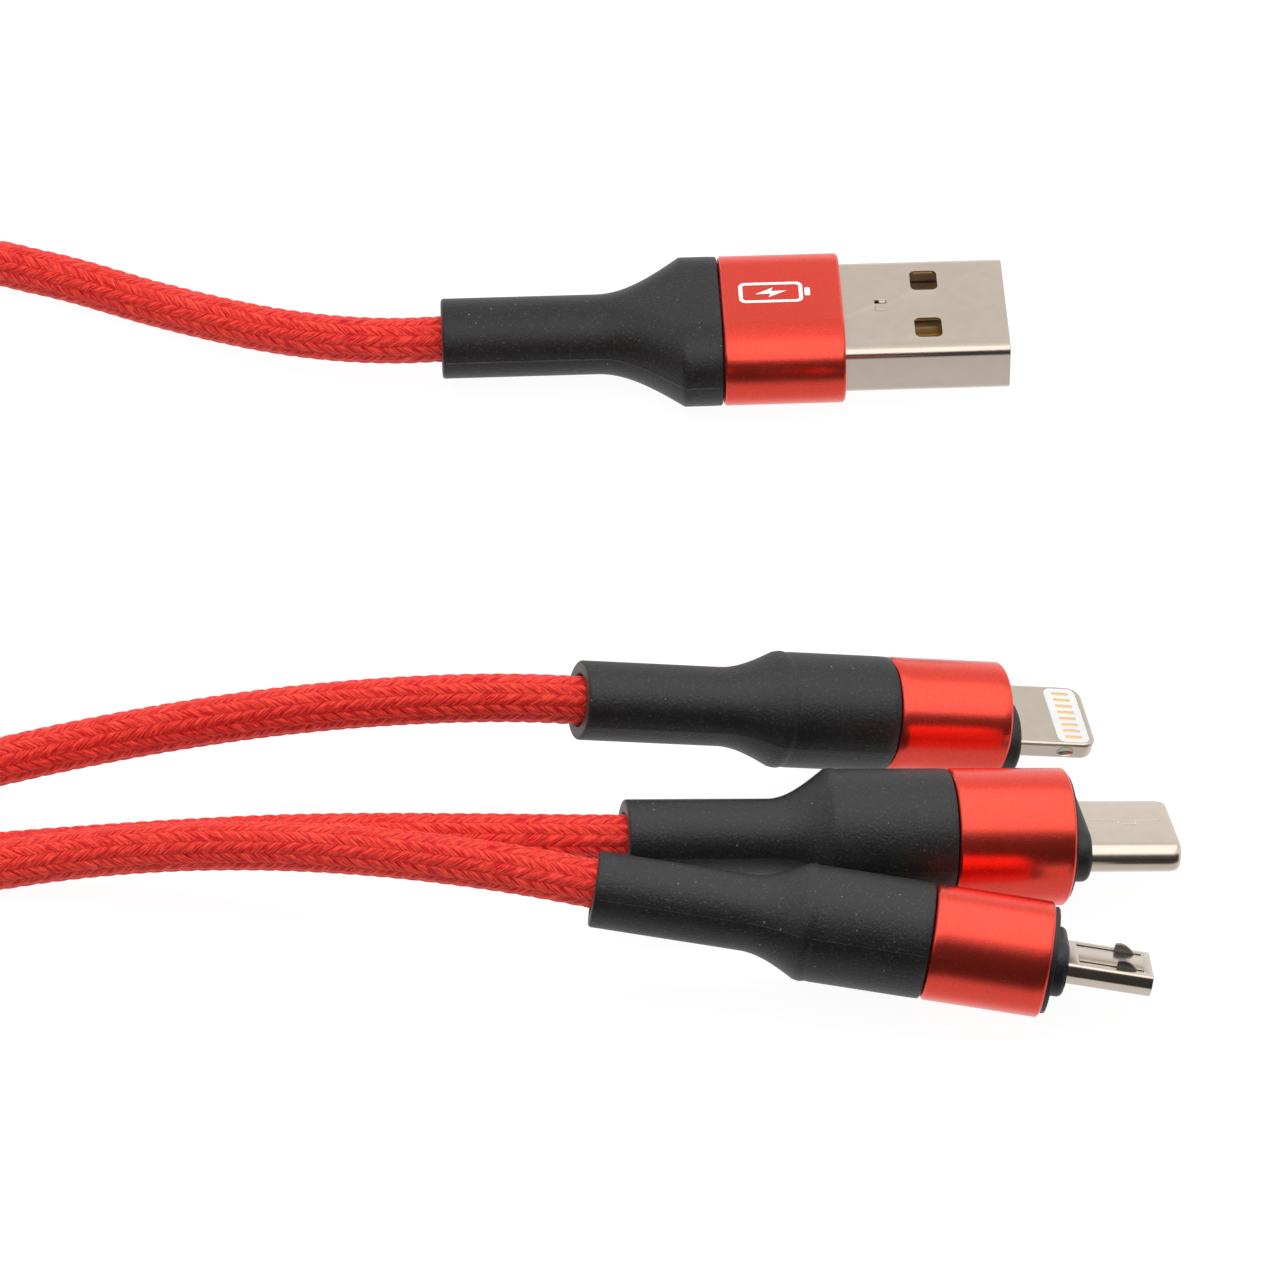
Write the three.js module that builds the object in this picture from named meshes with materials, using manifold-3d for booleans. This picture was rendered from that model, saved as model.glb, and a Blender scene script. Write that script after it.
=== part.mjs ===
// Three-in-one charging cable. Millimetres, +Z up.
// One type-A host plug on the main cord, a splitter, and three device plugs:
// an eight-pin tab plug, a type-C plug and a micro type-B plug.
// Every plug is built along its own +X, the way it is pushed into a socket,
// with its origin at the centre of the sleeve's mouth and +Z out of its wide face.
import * as THREE from "three";
import { mergeVertices } from "three/addons/utils/BufferGeometryUtils.js";
import Module from "manifold-3d";

const wasm = await Module();
wasm.setup();

// ---------------------------------------------------------------- dimensions
const FIT = 0.1; // play between parts pushed together inside a plug
const CORD_FIT = 0.3; // gap where a cord meets a boot, a coil or the splitter
const CORD_D = 3.6; // braided cord
const ROUND = 28; // facets round a plug body

// where each plug lies: the sleeve mouth's centre, and its turns in degrees
const TYPE_A_AT = [17.9, 33.8, 3.85], TYPE_A_TURN = { yaw: 0, pitch: 0, roll: 0 };
const EIGHT_AT = [26.79, -15.77, 4.4], EIGHT_TURN = { yaw: 9.2, pitch: 13.4, roll: 2.9 };
const TYPE_C_AT = [30.89, -30.54, 5.25], TYPE_C_TURN = { yaw: 5.05, pitch: 6.41, roll: -10.8 };
const MICRO_AT = [28.6, -43.78, 4.78], MICRO_TURN = { yaw: -6.5, pitch: 8.5, roll: -26.8 };

// type-A host plug
const A_SHELL_W = 12.0, A_SHELL_H = 4.5, A_SHELL_WALL = 0.3, A_SHELL_OUT = 13.4, A_SHELL_IN = 6.5;
const A_WINDOW_L = 2.2, A_WINDOW_W = 2.5, A_WINDOW_X = 6.9, A_WINDOW_Y = 3.05;
const A_SLEEVE_W = 14.8, A_SLEEVE_H = 7.7, A_SLEEVE_L = 9.8, A_SLEEVE_WALL = 0.55;
const A_BOOT_L = 22.7, A_NECK_D = 6.5, A_NECK_L = 13.0, A_BLOCK_L = 3.3;

// eight-pin plug
const E_SLEEVE_R = 4.45, E_SLEEVE_L = 9.0, E_BOOT_L = 24.8, E_NECK_R = 3.05, E_NECK_L = 11.9, E_BODY_L = 9.5;
const E_TAB_W = 6.7, E_TAB_T = 1.5, E_TAB_OUT = 7.5, E_TAB_IN = 2.8, E_TAB_R = 1.1;
const E_INSERT_X0 = 4.4, E_INSERT_X1 = 7.0, E_INSERT_W = 6.1;
const E_PADS = 8, E_PAD_PITCH = 0.67, E_PAD_W = 0.36, E_PAD_L = 1.55, E_PAD_X = 5.72;

// type-C plug
const C_SLEEVE_R = 5.25, C_SLEEVE_L = 9.0, C_BOOT_L = 25.0, C_NECK_R = 3.0, C_NECK_L = 11.0, C_BODY_L = 9.8;
const C_SHELL_W = 8.25, C_SHELL_H = 2.4, C_SHELL_WALL = 0.2, C_SHELL_OUT = 8.5, C_SHELL_IN = 4.4;
const C_COLLAR_W = 9.2, C_COLLAR_H = 4.2, C_COLLAR_L = 1.45;
const C_PINS = 7, C_PIN_PITCH = 0.75, C_PIN_W = 0.35;

// micro type-B plug
const M_SLEEVE_R = 4.42, M_SLEEVE_L = 9.0, M_BOOT_L = 25.5, M_NECK_R = 2.9, M_NECK_L = 11.6, M_BODY_L = 9.6;
const M_SHELL_W = 6.85, M_SHELL_BASE_W = 5.2, M_SHELL_H = 1.8, M_SHELL_WALL = 0.25, M_SHELL_OUT = 7.9, M_SHELL_IN = 4.0;
const M_NOSE_W = 7.5, M_NOSE_H = 4.2, M_NOSE_L = 1.4;
const M_HOOK_Y = 2.2, M_SLOT_W = 0.7;
const M_PINS = 5, M_PIN_PITCH = 0.65, M_PIN_W = 0.3;

// splitter
const S_AXIS_Y = -26, S_AXIS_Z = 4.0, S_MOUTH_X = -93.5;
const S_SLEEVE_L = 22, S_SLEEVE_W = 15.6, S_SLEEVE_H = 8.0, S_WALL = 0.6;
const S_BOOT_L = 17.5, S_NECK_D = 6.5, S_OUTLET_PITCH = 4.6, S_OUTLET_D = 4.3;

// cord coil and its tie
const COIL_X = -126, COIL_Y = 19.2, COIL_R = 19.4, COIL_ACROSS = 4, COIL_HIGH = 2, COIL_BASE = 0.8;
const TIE_L = 9, TIE_T = 0.5;

// the origin is under the middle of the plugs and the splitter, on the table
const ORIGIN = [-46.66, -3.47];

// centre lines of the free cords
const MAIN_ROUTE = [
  [-14.93, 33.81, 3.81], [-17.55, 33.83, 3.74], [-20.09, 34.12, 3.62], [-22.57, 34.66, 3.44],
  [-25.00, 35.40, 3.23], [-27.38, 36.32, 2.99], [-29.72, 37.38, 2.74], [-32.03, 38.55, 2.50],
  [-34.33, 39.79, 2.26], [-36.62, 41.07, 2.05], [-38.90, 42.35, 1.88], [-41.20, 43.61, 1.83],
  [-43.51, 44.80, 1.83], [-45.84, 45.90, 1.83], [-48.21, 46.86, 1.83], [-50.63, 47.66, 2.00],
  [-54.55, 48.60, 1.83], [-58.51, 49.18, 1.83], [-62.50, 49.45, 1.85], [-66.53, 49.45, 1.86],
  [-70.57, 49.22, 1.89], [-74.64, 48.81, 1.93], [-78.72, 48.26, 1.97], [-82.81, 47.62, 2.02],
  [-86.91, 46.92, 2.08], [-91.02, 46.20, 2.15], [-95.13, 45.53, 2.22], [-99.24, 44.92, 2.31],
  [-103.34, 44.44, 2.40], [-107.43, 44.12, 2.49], [-111.50, 44.00, 2.60],
];
const TAIL_ROUTE = [
  [-150.80, 19.20, 6.20], [-150.80, 15.03, 6.15], [-150.80, 10.86, 6.03], [-150.80, 6.69, 5.83],
  [-150.80, 2.51, 5.59], [-150.80, -1.66, 5.33], [-150.80, -5.83, 5.04], [-150.80, -10.00, 4.76],
  [-150.49, -13.12, 4.56], [-149.58, -16.12, 4.38], [-148.10, -18.89, 4.23], [-146.11, -21.31, 4.11],
  [-143.69, -23.30, 4.03], [-140.92, -24.78, 4.00], [-137.92, -25.69, 4.00], [-134.80, -26.00, 4.00],
  [-133.50, -26.00, 4.00],
];
const EIGHT_ROUTE = [
  [-5.94, -21.08, 12.28], [-8.89, -21.49, 12.92], [-11.87, -21.61, 13.20], [-14.87, -21.50, 13.17],
  [-17.87, -21.21, 12.88], [-20.87, -20.78, 12.39], [-23.85, -20.26, 11.75], [-26.80, -19.70, 11.00],
  [-29.72, -19.14, 10.18], [-32.62, -18.61, 9.31], [-35.50, -18.14, 8.43], [-38.39, -17.74, 7.56],
  [-41.29, -17.46, 6.72], [-44.20, -17.31, 5.95], [-47.15, -17.33, 5.26], [-50.14, -17.55, 4.68],
  [-53.69, -17.95, 4.16], [-57.25, -18.39, 3.81], [-60.83, -18.85, 3.60], [-64.42, -19.32, 3.50],
  [-68.02, -19.77, 3.49], [-71.62, -20.20, 3.54], [-75.24, -20.59, 3.64], [-78.85, -20.92, 3.76],
  [-82.47, -21.18, 3.88], [-86.08, -21.34, 3.97], [-89.70, -21.40, 4.00],
];
const TYPE_C_ROUTE = [
  [-3.01, -33.55, 9.08], [-6.21, -33.73, 9.39], [-9.41, -33.63, 9.47], [-12.59, -33.30, 9.36],
  [-15.77, -32.80, 9.07], [-18.92, -32.16, 8.66], [-22.07, -31.45, 8.15], [-25.19, -30.71, 7.57],
  [-28.30, -29.98, 6.95], [-31.39, -29.29, 6.31], [-34.48, -28.65, 5.66], [-37.58, -28.06, 5.03],
  [-40.69, -27.54, 4.42], [-43.82, -27.10, 3.86], [-46.98, -26.73, 3.35], [-50.18, -26.46, 2.90],
  [-53.75, -26.25, 2.56], [-57.32, -26.10, 2.40], [-60.91, -25.99, 2.40], [-64.50, -25.93, 2.51],
  [-68.09, -25.90, 2.72], [-71.69, -25.90, 2.98], [-75.30, -25.91, 3.26], [-78.90, -25.94, 3.54],
  [-82.50, -25.97, 3.77], [-86.10, -25.99, 3.94], [-89.70, -26.00, 4.00],
];
const MICRO_ROUTE = [
  [-5.55, -39.66, 10.23], [-8.46, -39.08, 10.57], [-11.37, -38.43, 10.78], [-14.29, -37.74, 10.87],
  [-17.20, -37.02, 10.85], [-20.12, -36.29, 10.75], [-23.05, -35.57, 10.56], [-25.99, -34.88, 10.31],
  [-28.94, -34.24, 10.01], [-31.91, -33.67, 9.67], [-34.88, -33.18, 9.31], [-37.87, -32.80, 8.93],
  [-40.88, -32.54, 8.55], [-43.90, -32.42, 8.18], [-46.95, -32.47, 7.84], [-50.01, -32.69, 7.54],
  [-53.60, -32.95, 7.18], [-57.20, -33.01, 6.79], [-60.80, -32.90, 6.37], [-64.40, -32.67, 5.95],
  [-68.00, -32.34, 5.53], [-71.61, -31.96, 5.12], [-75.22, -31.57, 4.76], [-78.84, -31.20, 4.45],
  [-82.45, -30.89, 4.21], [-86.08, -30.68, 4.05], [-89.70, -30.60, 4.00],
];

// ---------------------------------------------------------------- materials
const finish = (color, roughness, metalness) => new THREE.MeshStandardMaterial({ color, roughness, metalness });
const NICKEL = finish(0xb9ad9f, 0.32, 1.0);
const RED_METAL = finish(0xc4201c, 0.38, 0.9);
const RUBBER = finish(0x1c1c1e, 0.72, 0.0);
const NYLON = finish(0xd0241f, 0.6, 0.0);
const GOLD = finish(0xd8ae5c, 0.3, 1.0);
const WHITE = finish(0xe9e9e6, 0.45, 0.0);
const INNER = finish(0x23221f, 0.6, 0.0);
const BOARD = finish(0x1f4f37, 0.55, 0.0);
const STRAP = finish(0x19191b, 0.9, 0.0);
const SPRING = finish(0x6b6660, 0.4, 1.0);

// ---------------------------------------------------------------- solids
// A closed mesh with shared vertices and faces that point outwards.
function closed(source) {
  const bare = new THREE.BufferGeometry().setAttribute("position", source.getAttribute("position").clone());
  if (source.index) bare.setIndex(source.index.clone());
  const g = mergeVertices(bare, 1e-4);
  const p = g.getAttribute("position"), from = g.index.array, kept = [];
  let volume = 0;
  const a = new THREE.Vector3(), b = new THREE.Vector3(), c = new THREE.Vector3();
  for (let i = 0; i < from.length; i += 3) {
    const [u, v, w] = [from[i], from[i + 1], from[i + 2]];
    if (u === v || v === w || u === w) continue;
    kept.push(u, v, w);
    a.fromBufferAttribute(p, u);
    b.fromBufferAttribute(p, v);
    c.fromBufferAttribute(p, w);
    volume += a.dot(b.cross(c));
  }
  if (volume < 0) for (let i = 0; i < kept.length; i += 3) [kept[i + 1], kept[i + 2]] = [kept[i + 2], kept[i + 1]];
  g.setIndex(kept);
  return g;
}
const toSolid = (g) => {
  const m = closed(g);
  return new wasm.Manifold(
    new wasm.Mesh({
      numProp: 3,
      vertProperties: new Float32Array(m.getAttribute("position").array),
      triVerts: new Uint32Array(m.index.array),
    }),
  );
};
const fromSolid = (s) => {
  const m = s.getMesh();
  return new THREE.BufferGeometry()
    .setAttribute("position", new THREE.BufferAttribute(new Float32Array(m.vertProperties), 3))
    .setIndex(new THREE.BufferAttribute(new Uint32Array(m.triVerts), 1));
};
const cut = (g, ...tools) => fromSolid(tools.reduce((s, t) => s.subtract(toSolid(t)), toSolid(g)));
const join = (g, ...more) => fromSolid(more.reduce((s, t) => s.add(toSolid(t)), toSolid(g)));

const box = (x0, x1, y0, y1, z0, z1) =>
  new THREE.BoxGeometry(x1 - x0, y1 - y0, z1 - z0).translate((x0 + x1) / 2, (y0 + y1) / 2, (z0 + z1) / 2);

// A rounded rectangle about the origin; with r = h/2 it is a stadium.
function roundRect(w, h, r, Kind = THREE.Shape) {
  const s = new Kind(), x = w / 2 - r, y = h / 2 - r;
  s.moveTo(x, -h / 2);
  s.absarc(x, -y, r, -Math.PI / 2, 0, false);
  s.absarc(x, y, r, 0, Math.PI / 2, false);
  s.absarc(-x, y, r, Math.PI / 2, Math.PI, false);
  s.absarc(-x, -y, r, Math.PI, 1.5 * Math.PI, false);
  return s;
}
const stadium = (w, h, Kind = THREE.Shape) => roundRect(w, h, h / 2 - 1e-3, Kind);

// A section drawn in Y and Z, drawn out along X.
const AXIS_X = new THREE.Matrix4().makeBasis(
  new THREE.Vector3(0, 1, 0), new THREE.Vector3(0, 0, 1), new THREE.Vector3(1, 0, 0),
);
const alongX = (shape, x0, x1, curveSegments = 5) =>
  new THREE.ExtrudeGeometry(shape, { depth: x1 - x0, bevelEnabled: false, curveSegments })
    .applyMatrix4(AXIS_X)
    .translate(x0, 0, 0);
// A plan drawn in X and Y, drawn out along Z.
const alongZ = (shape, z0, z1, curveSegments = 5) =>
  new THREE.ExtrudeGeometry(shape, { depth: z1 - z0, bevelEnabled: false, curveSegments }).translate(0, 0, z0);
// A profile of [x, radius] turned about X.
const turned = (profile, facets = ROUND) =>
  new THREE.LatheGeometry(profile.map(([x, r]) => new THREE.Vector2(Math.max(r, 0), x)), facets).rotateZ(-Math.PI / 2);
const turnedRing = (profile, facets = ROUND) => turned([...profile, profile[0]], facets);

// A skin through sections of [x, width, height], all stadiums, closed at both ends.
function loft(sections, count = 32) {
  const v = [], f = [];
  sections.forEach(([x, w, h]) => {
    for (let i = 0; i < count; i++) {
      const t = ((i + 0.5) / count) * 2 * Math.PI;
      v.push(x, (Math.sign(Math.cos(t)) * (w - h)) / 2 + (h / 2) * Math.cos(t), (h / 2) * Math.sin(t));
    }
  });
  for (let s = 0; s + 1 < sections.length; s++)
    for (let i = 0; i < count; i++) {
      const a = s * count + i, b = s * count + ((i + 1) % count), c = a + count, d = b + count;
      f.push(a, b, d, a, d, c);
    }
  const last = (sections.length - 1) * count;
  for (let i = 1; i + 1 < count; i++) {
    f.push(0, i + 1, i);
    f.push(last, last + i, last + i + 1);
  }
  return new THREE.BufferGeometry()
    .setAttribute("position", new THREE.Float32BufferAttribute(v, 3))
    .setIndex(f);
}

// The stretch of a route from start to end, in millimetres along it, as a tube of eight sides.
function cordTube(route, start, end, steps) {
  const whole = new THREE.CatmullRomCurve3(route.map((p) => new THREE.Vector3(...p)), false, "centripetal");
  whole.arcLengthDivisions = 600;
  const length = whole.getLength(), to = end === null ? length : end < 0 ? length + end : end;
  const points = [];
  for (let i = 0; i <= steps; i++) points.push(whole.getPointAt(Math.min(1, (start + ((to - start) * i) / steps) / length)));
  const section = new THREE.Shape();
  for (let i = 0; i < 8; i++) {
    const t = (i * Math.PI) / 4;
    section[i ? "lineTo" : "moveTo"]((CORD_D / 2) * Math.cos(t), (CORD_D / 2) * Math.sin(t));
  }
  return new THREE.ExtrudeGeometry(section, {
    steps,
    bevelEnabled: false,
    extrudePath: new THREE.CatmullRomCurve3(points, false, "centripetal"),
  });
}

const root = new THREE.Group();
function add(parent, name, geometry, material) {
  const mesh = new THREE.Mesh(closed(geometry), material);
  mesh.name = name;
  parent.add(mesh);
  return mesh;
}
function place(at, { yaw, pitch, roll }) {
  const g = new THREE.Group(), rad = Math.PI / 180;
  g.position.set(...at);
  g.rotation.set(roll * rad, pitch * rad, yaw * rad, "ZYX");
  root.add(g);
  return g;
}

// ---------------------------------------------------------------- type-A host plug
{
  const g = place(TYPE_A_AT, TYPE_A_TURN);
  const w = A_SHELL_W / 2, h = A_SHELL_H / 2, back = -A_SLEEVE_L;

  // folded steel shell with two windows in each wide face
  const section = roundRect(A_SHELL_W, A_SHELL_H, 0.6);
  section.holes.push(roundRect(A_SHELL_W - 2 * A_SHELL_WALL, A_SHELL_H - 2 * A_SHELL_WALL, 0.3, THREE.Path));
  const windows = [];
  for (const y of [-A_WINDOW_Y, A_WINDOW_Y])
    for (const z of [-h, h])
      windows.push(
        box(A_WINDOW_X - A_WINDOW_L / 2, A_WINDOW_X + A_WINDOW_L / 2, y - A_WINDOW_W / 2, y + A_WINDOW_W / 2, z - 0.5, z + 0.5),
      );
  add(g, "type_a_shell", cut(alongX(section, -A_SHELL_IN, A_SHELL_OUT, 3), ...windows), NICKEL);

  // insulating tongue in the lower half of the shell, and the four contacts on it
  add(g, "type_a_tongue", box(-A_SHELL_IN + 0.2, A_SHELL_OUT - 0.8, -w + 0.45, w - 0.45, -h + 0.4, -0.05), INNER);
  [-3.5, -1.0, 1.0, 3.5].forEach((y, i) => {
    const front = Math.abs(y) > 2 ? 12.0 : 11.0;
    add(g, "type_a_contact_" + (i + 1), box(-5.8, front, y - 0.5, y + 0.5, 0.02, 0.22), GOLD);
  });

  // inner moulding that holds the shell in the sleeve
  add(
    g,
    "type_a_core",
    cut(
      alongX(stadium(A_SLEEVE_W - 2 * A_SLEEVE_WALL - 2 * FIT, A_SLEEVE_H - 2 * A_SLEEVE_WALL - 2 * FIT), back + 0.2, -0.3, 6),
      box(-A_SHELL_IN - FIT, 1, -w - FIT, w + FIT, -h - FIT, h + FIT),
    ),
    INNER,
  );

  const tube = stadium(A_SLEEVE_W, A_SLEEVE_H);
  tube.holes.push(stadium(A_SLEEVE_W - 2 * A_SLEEVE_WALL, A_SLEEVE_H - 2 * A_SLEEVE_WALL, THREE.Path));
  add(g, "type_a_sleeve", alongX(tube, back, 0, 8), RED_METAL);

  // boot: round neck, flare, then a block as wide as the sleeve, hollow at the front for the crimp ring
  const front = back - FIT, rear = back - A_BOOT_L, flare0 = rear + A_NECK_L, flare1 = front - A_BLOCK_L;
  const sections = [[rear, A_NECK_D - 0.7, A_NECK_D - 0.7], [rear + 0.35, A_NECK_D, A_NECK_D]];
  for (let i = 0; i <= 5; i++) {
    const t = i / 5, s = t * t * (3 - 2 * t);
    sections.push([flare0 + (flare1 - flare0) * t, A_NECK_D + (A_SLEEVE_W - A_NECK_D) * s, A_NECK_D + (A_SLEEVE_H - A_NECK_D) * s]);
  }
  sections.push([front, A_SLEEVE_W, A_SLEEVE_H]);
  add(g, "type_a_boot", cut(loft(sections), turned([[front - 7, 0], [front - 7, 2.7], [1, 2.7], [1, 0]], 20)), RUBBER);
  add(g, "type_a_crimp", turnedRing([[front - 6.6, 1.9], [front - 6.6, 2.5], [front - 0.8, 2.5], [front - 0.8, 1.9]], 20), NICKEL);
}

// A device plug's round sleeve, boot and crimp ring.
function roundBody(g, name, R, sleeveL, bootL, neckR, neckL, bodyL) {
  const back = -sleeveL, front = back - FIT, rear = back - bootL;
  add(g, name + "_sleeve", turnedRing([[back, R - 0.55], [back, R], [-0.25, R], [0, R - 0.25], [0, R - 0.55]]), RED_METAL);
  const flare0 = rear + neckL, flare1 = front + FIT - bodyL, profile = [[rear, 0], [rear, neckR - 0.35], [rear + 0.35, neckR]];
  for (let i = 0; i <= 4; i++) {
    const t = i / 4, s = t * t * (3 - 2 * t);
    profile.push([flare0 + (flare1 - flare0) * t, neckR + (R - neckR) * s]);
  }
  profile.push([front, R], [front, 2.6], [front - 6.6, 2.6], [front - 6.6, 0]);
  add(g, name + "_boot", turned(profile), RUBBER);
  add(g, name + "_crimp", turnedRing([[front - 6.2, 1.9], [front - 6.2, 2.4], [front - 0.8, 2.4], [front - 0.8, 1.9]], 18), NICKEL);
}

// ---------------------------------------------------------------- eight-pin plug
{
  const g = place(EIGHT_AT, EIGHT_TURN);
  roundBody(g, "eight_pin", E_SLEEVE_R, E_SLEEVE_L, E_BOOT_L, E_NECK_R, E_NECK_L, E_BODY_L);
  const w = E_TAB_W / 2, t = E_TAB_T / 2, iw = E_INSERT_W / 2;

  // metal frame of the tab: round front corners, a window for the insert, a detent in each side, hollow for the board
  const plan = new THREE.Shape();
  plan.moveTo(-E_TAB_IN, -w);
  plan.lineTo(E_TAB_OUT - E_TAB_R, -w);
  plan.absarc(E_TAB_OUT - E_TAB_R, -w + E_TAB_R, E_TAB_R, -Math.PI / 2, 0, false);
  plan.absarc(E_TAB_OUT - E_TAB_R, w - E_TAB_R, E_TAB_R, 0, Math.PI / 2, false);
  plan.lineTo(-E_TAB_IN, w);
  add(
    g,
    "eight_pin_tab",
    cut(
      alongZ(plan, -t, t),
      box(E_INSERT_X0, E_INSERT_X1, -iw, iw, -2, 2),
      box(-E_TAB_IN - 1, E_INSERT_X0 + 0.1, -iw + 0.2, iw - 0.2, -0.47, 0.47),
      box(4.4, 5.6, -w - 1, -w + 0.12, -0.45, 0.45),
      box(4.4, 5.6, w - 0.12, w + 1, -0.45, 0.45),
    ),
    NICKEL,
  );

  // circuit board with eight raised contact pads on each face
  const pads = [], holes = [];
  for (let i = 0; i < E_PADS; i++) {
    const y = (i - (E_PADS - 1) / 2) * E_PAD_PITCH, x0 = E_PAD_X - E_PAD_L / 2, x1 = E_PAD_X + E_PAD_L / 2;
    pads.push(box(x0, x1, y - E_PAD_W / 2, y + E_PAD_W / 2, -t + 0.02, t - 0.02));
    holes.push(box(x0 - 0.04, x1 + 0.04, y - E_PAD_W / 2 - 0.04, y + E_PAD_W / 2 + 0.04, -2, 2));
  }
  add(g, "eight_pin_board", join(box(-8, E_INSERT_X1 - 0.1, -iw + 0.3, iw - 0.3, -0.4, 0.4), ...pads), GOLD);

  // white insert, one plate on each face, with a slot round every pad
  const plate = (z0, z1) => cut(box(E_INSERT_X0 + 0.05, E_INSERT_X1 - 0.05, -iw + 0.05, iw - 0.05, z0, z1), ...holes);
  add(g, "eight_pin_insert_top", plate(0.45, t), WHITE);
  add(g, "eight_pin_insert_bottom", plate(-t, -0.45), WHITE);

  // nose that closes the sleeve's mouth round the tab
  add(
    g,
    "eight_pin_nose",
    cut(
      turned([[-3, 0], [-3, E_SLEEVE_R - 0.55 - FIT], [0.05, E_SLEEVE_R - 0.55 - FIT], [0.05, 4.05], [0.35, 4.05], [0.5, 3.8], [0.5, 0]]),
      box(-4, 2, -w - FIT, w + FIT, -t - FIT, t + FIT),
    ),
    INNER,
  );
}

// ---------------------------------------------------------------- type-C plug
{
  const g = place(TYPE_C_AT, TYPE_C_TURN);
  roundBody(g, "type_c", C_SLEEVE_R, C_SLEEVE_L, C_BOOT_L, C_NECK_R, C_NECK_L, C_BODY_L);

  const section = stadium(C_SHELL_W, C_SHELL_H);
  section.holes.push(stadium(C_SHELL_W - 2 * C_SHELL_WALL, C_SHELL_H - 2 * C_SHELL_WALL, THREE.Path));
  add(g, "type_c_shell", alongX(section, -C_SHELL_IN, C_SHELL_OUT, 6), NICKEL);

  // insulator: a block at the back, and a plate above and below the cavity
  const iw = C_SHELL_W - 2 * C_SHELL_WALL - 2 * FIT, ih = C_SHELL_H - 2 * C_SHELL_WALL - 2 * 0.05;
  add(
    g,
    "type_c_insulator",
    cut(
      alongX(stadium(iw, ih), -C_SHELL_IN, C_SHELL_OUT - 0.5, 5),
      box(-1.6, 20, -6, 6, -0.6, 0.6),
      box(-9, -1.5, -2.65, 2.65, -0.36, 0.36),
    ),
    INNER,
  );
  add(g, "type_c_board", box(-8, -1.7, -2.5, 2.5, -0.28, 0.28), BOARD);

  // two rows of contacts, each row a comb
  const comb = (z0, z1) => {
    const fingers = [];
    for (let i = 0; i < C_PINS; i++) {
      const y = (i - (C_PINS - 1) / 2) * C_PIN_PITCH;
      fingers.push(box(-1.4, 6.6, y - C_PIN_W / 2, y + C_PIN_W / 2, z0, z1));
    }
    return join(box(-1.4, -0.7, -2.5, 2.5, z0, z1), ...fingers);
  };
  add(g, "type_c_contacts_upper", comb(0.42, 0.55), GOLD);
  add(g, "type_c_contacts_lower", comb(-0.55, -0.42), GOLD);

  // side springs that click into the socket's tongue: they bend outwards
  for (const [name, side] of [["type_c_latch_left", 1], ["type_c_latch_right", -1]]) {
    const y = (v) => side * v, lo = Math.min(y(3.2), y(3.36)), hi = Math.max(y(3.2), y(3.36));
    const b0 = Math.min(y(3.02), y(3.36)), b1 = Math.max(y(3.02), y(3.36));
    add(g, name, join(box(-1.2, 6.2, lo, hi, -0.3, 0.3), box(5.2, 6.2, b0, b1, -0.3, 0.3)), SPRING);
  }

  add(
    g,
    "type_c_nose",
    cut(
      join(
        turned([[-3, 0], [-3, C_SLEEVE_R - 0.55 - FIT], [0.05, C_SLEEVE_R - 0.55 - FIT], [0.05, 4.85], [0.2, 4.85], [0.2, 0]]),
        alongX(stadium(C_COLLAR_W, C_COLLAR_H), -0.5, C_COLLAR_L, 6),
      ),
      alongX(stadium(C_SHELL_W + 2 * FIT, C_SHELL_H + 2 * FIT), -5, 5, 6),
    ),
    INNER,
  );
}

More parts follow.
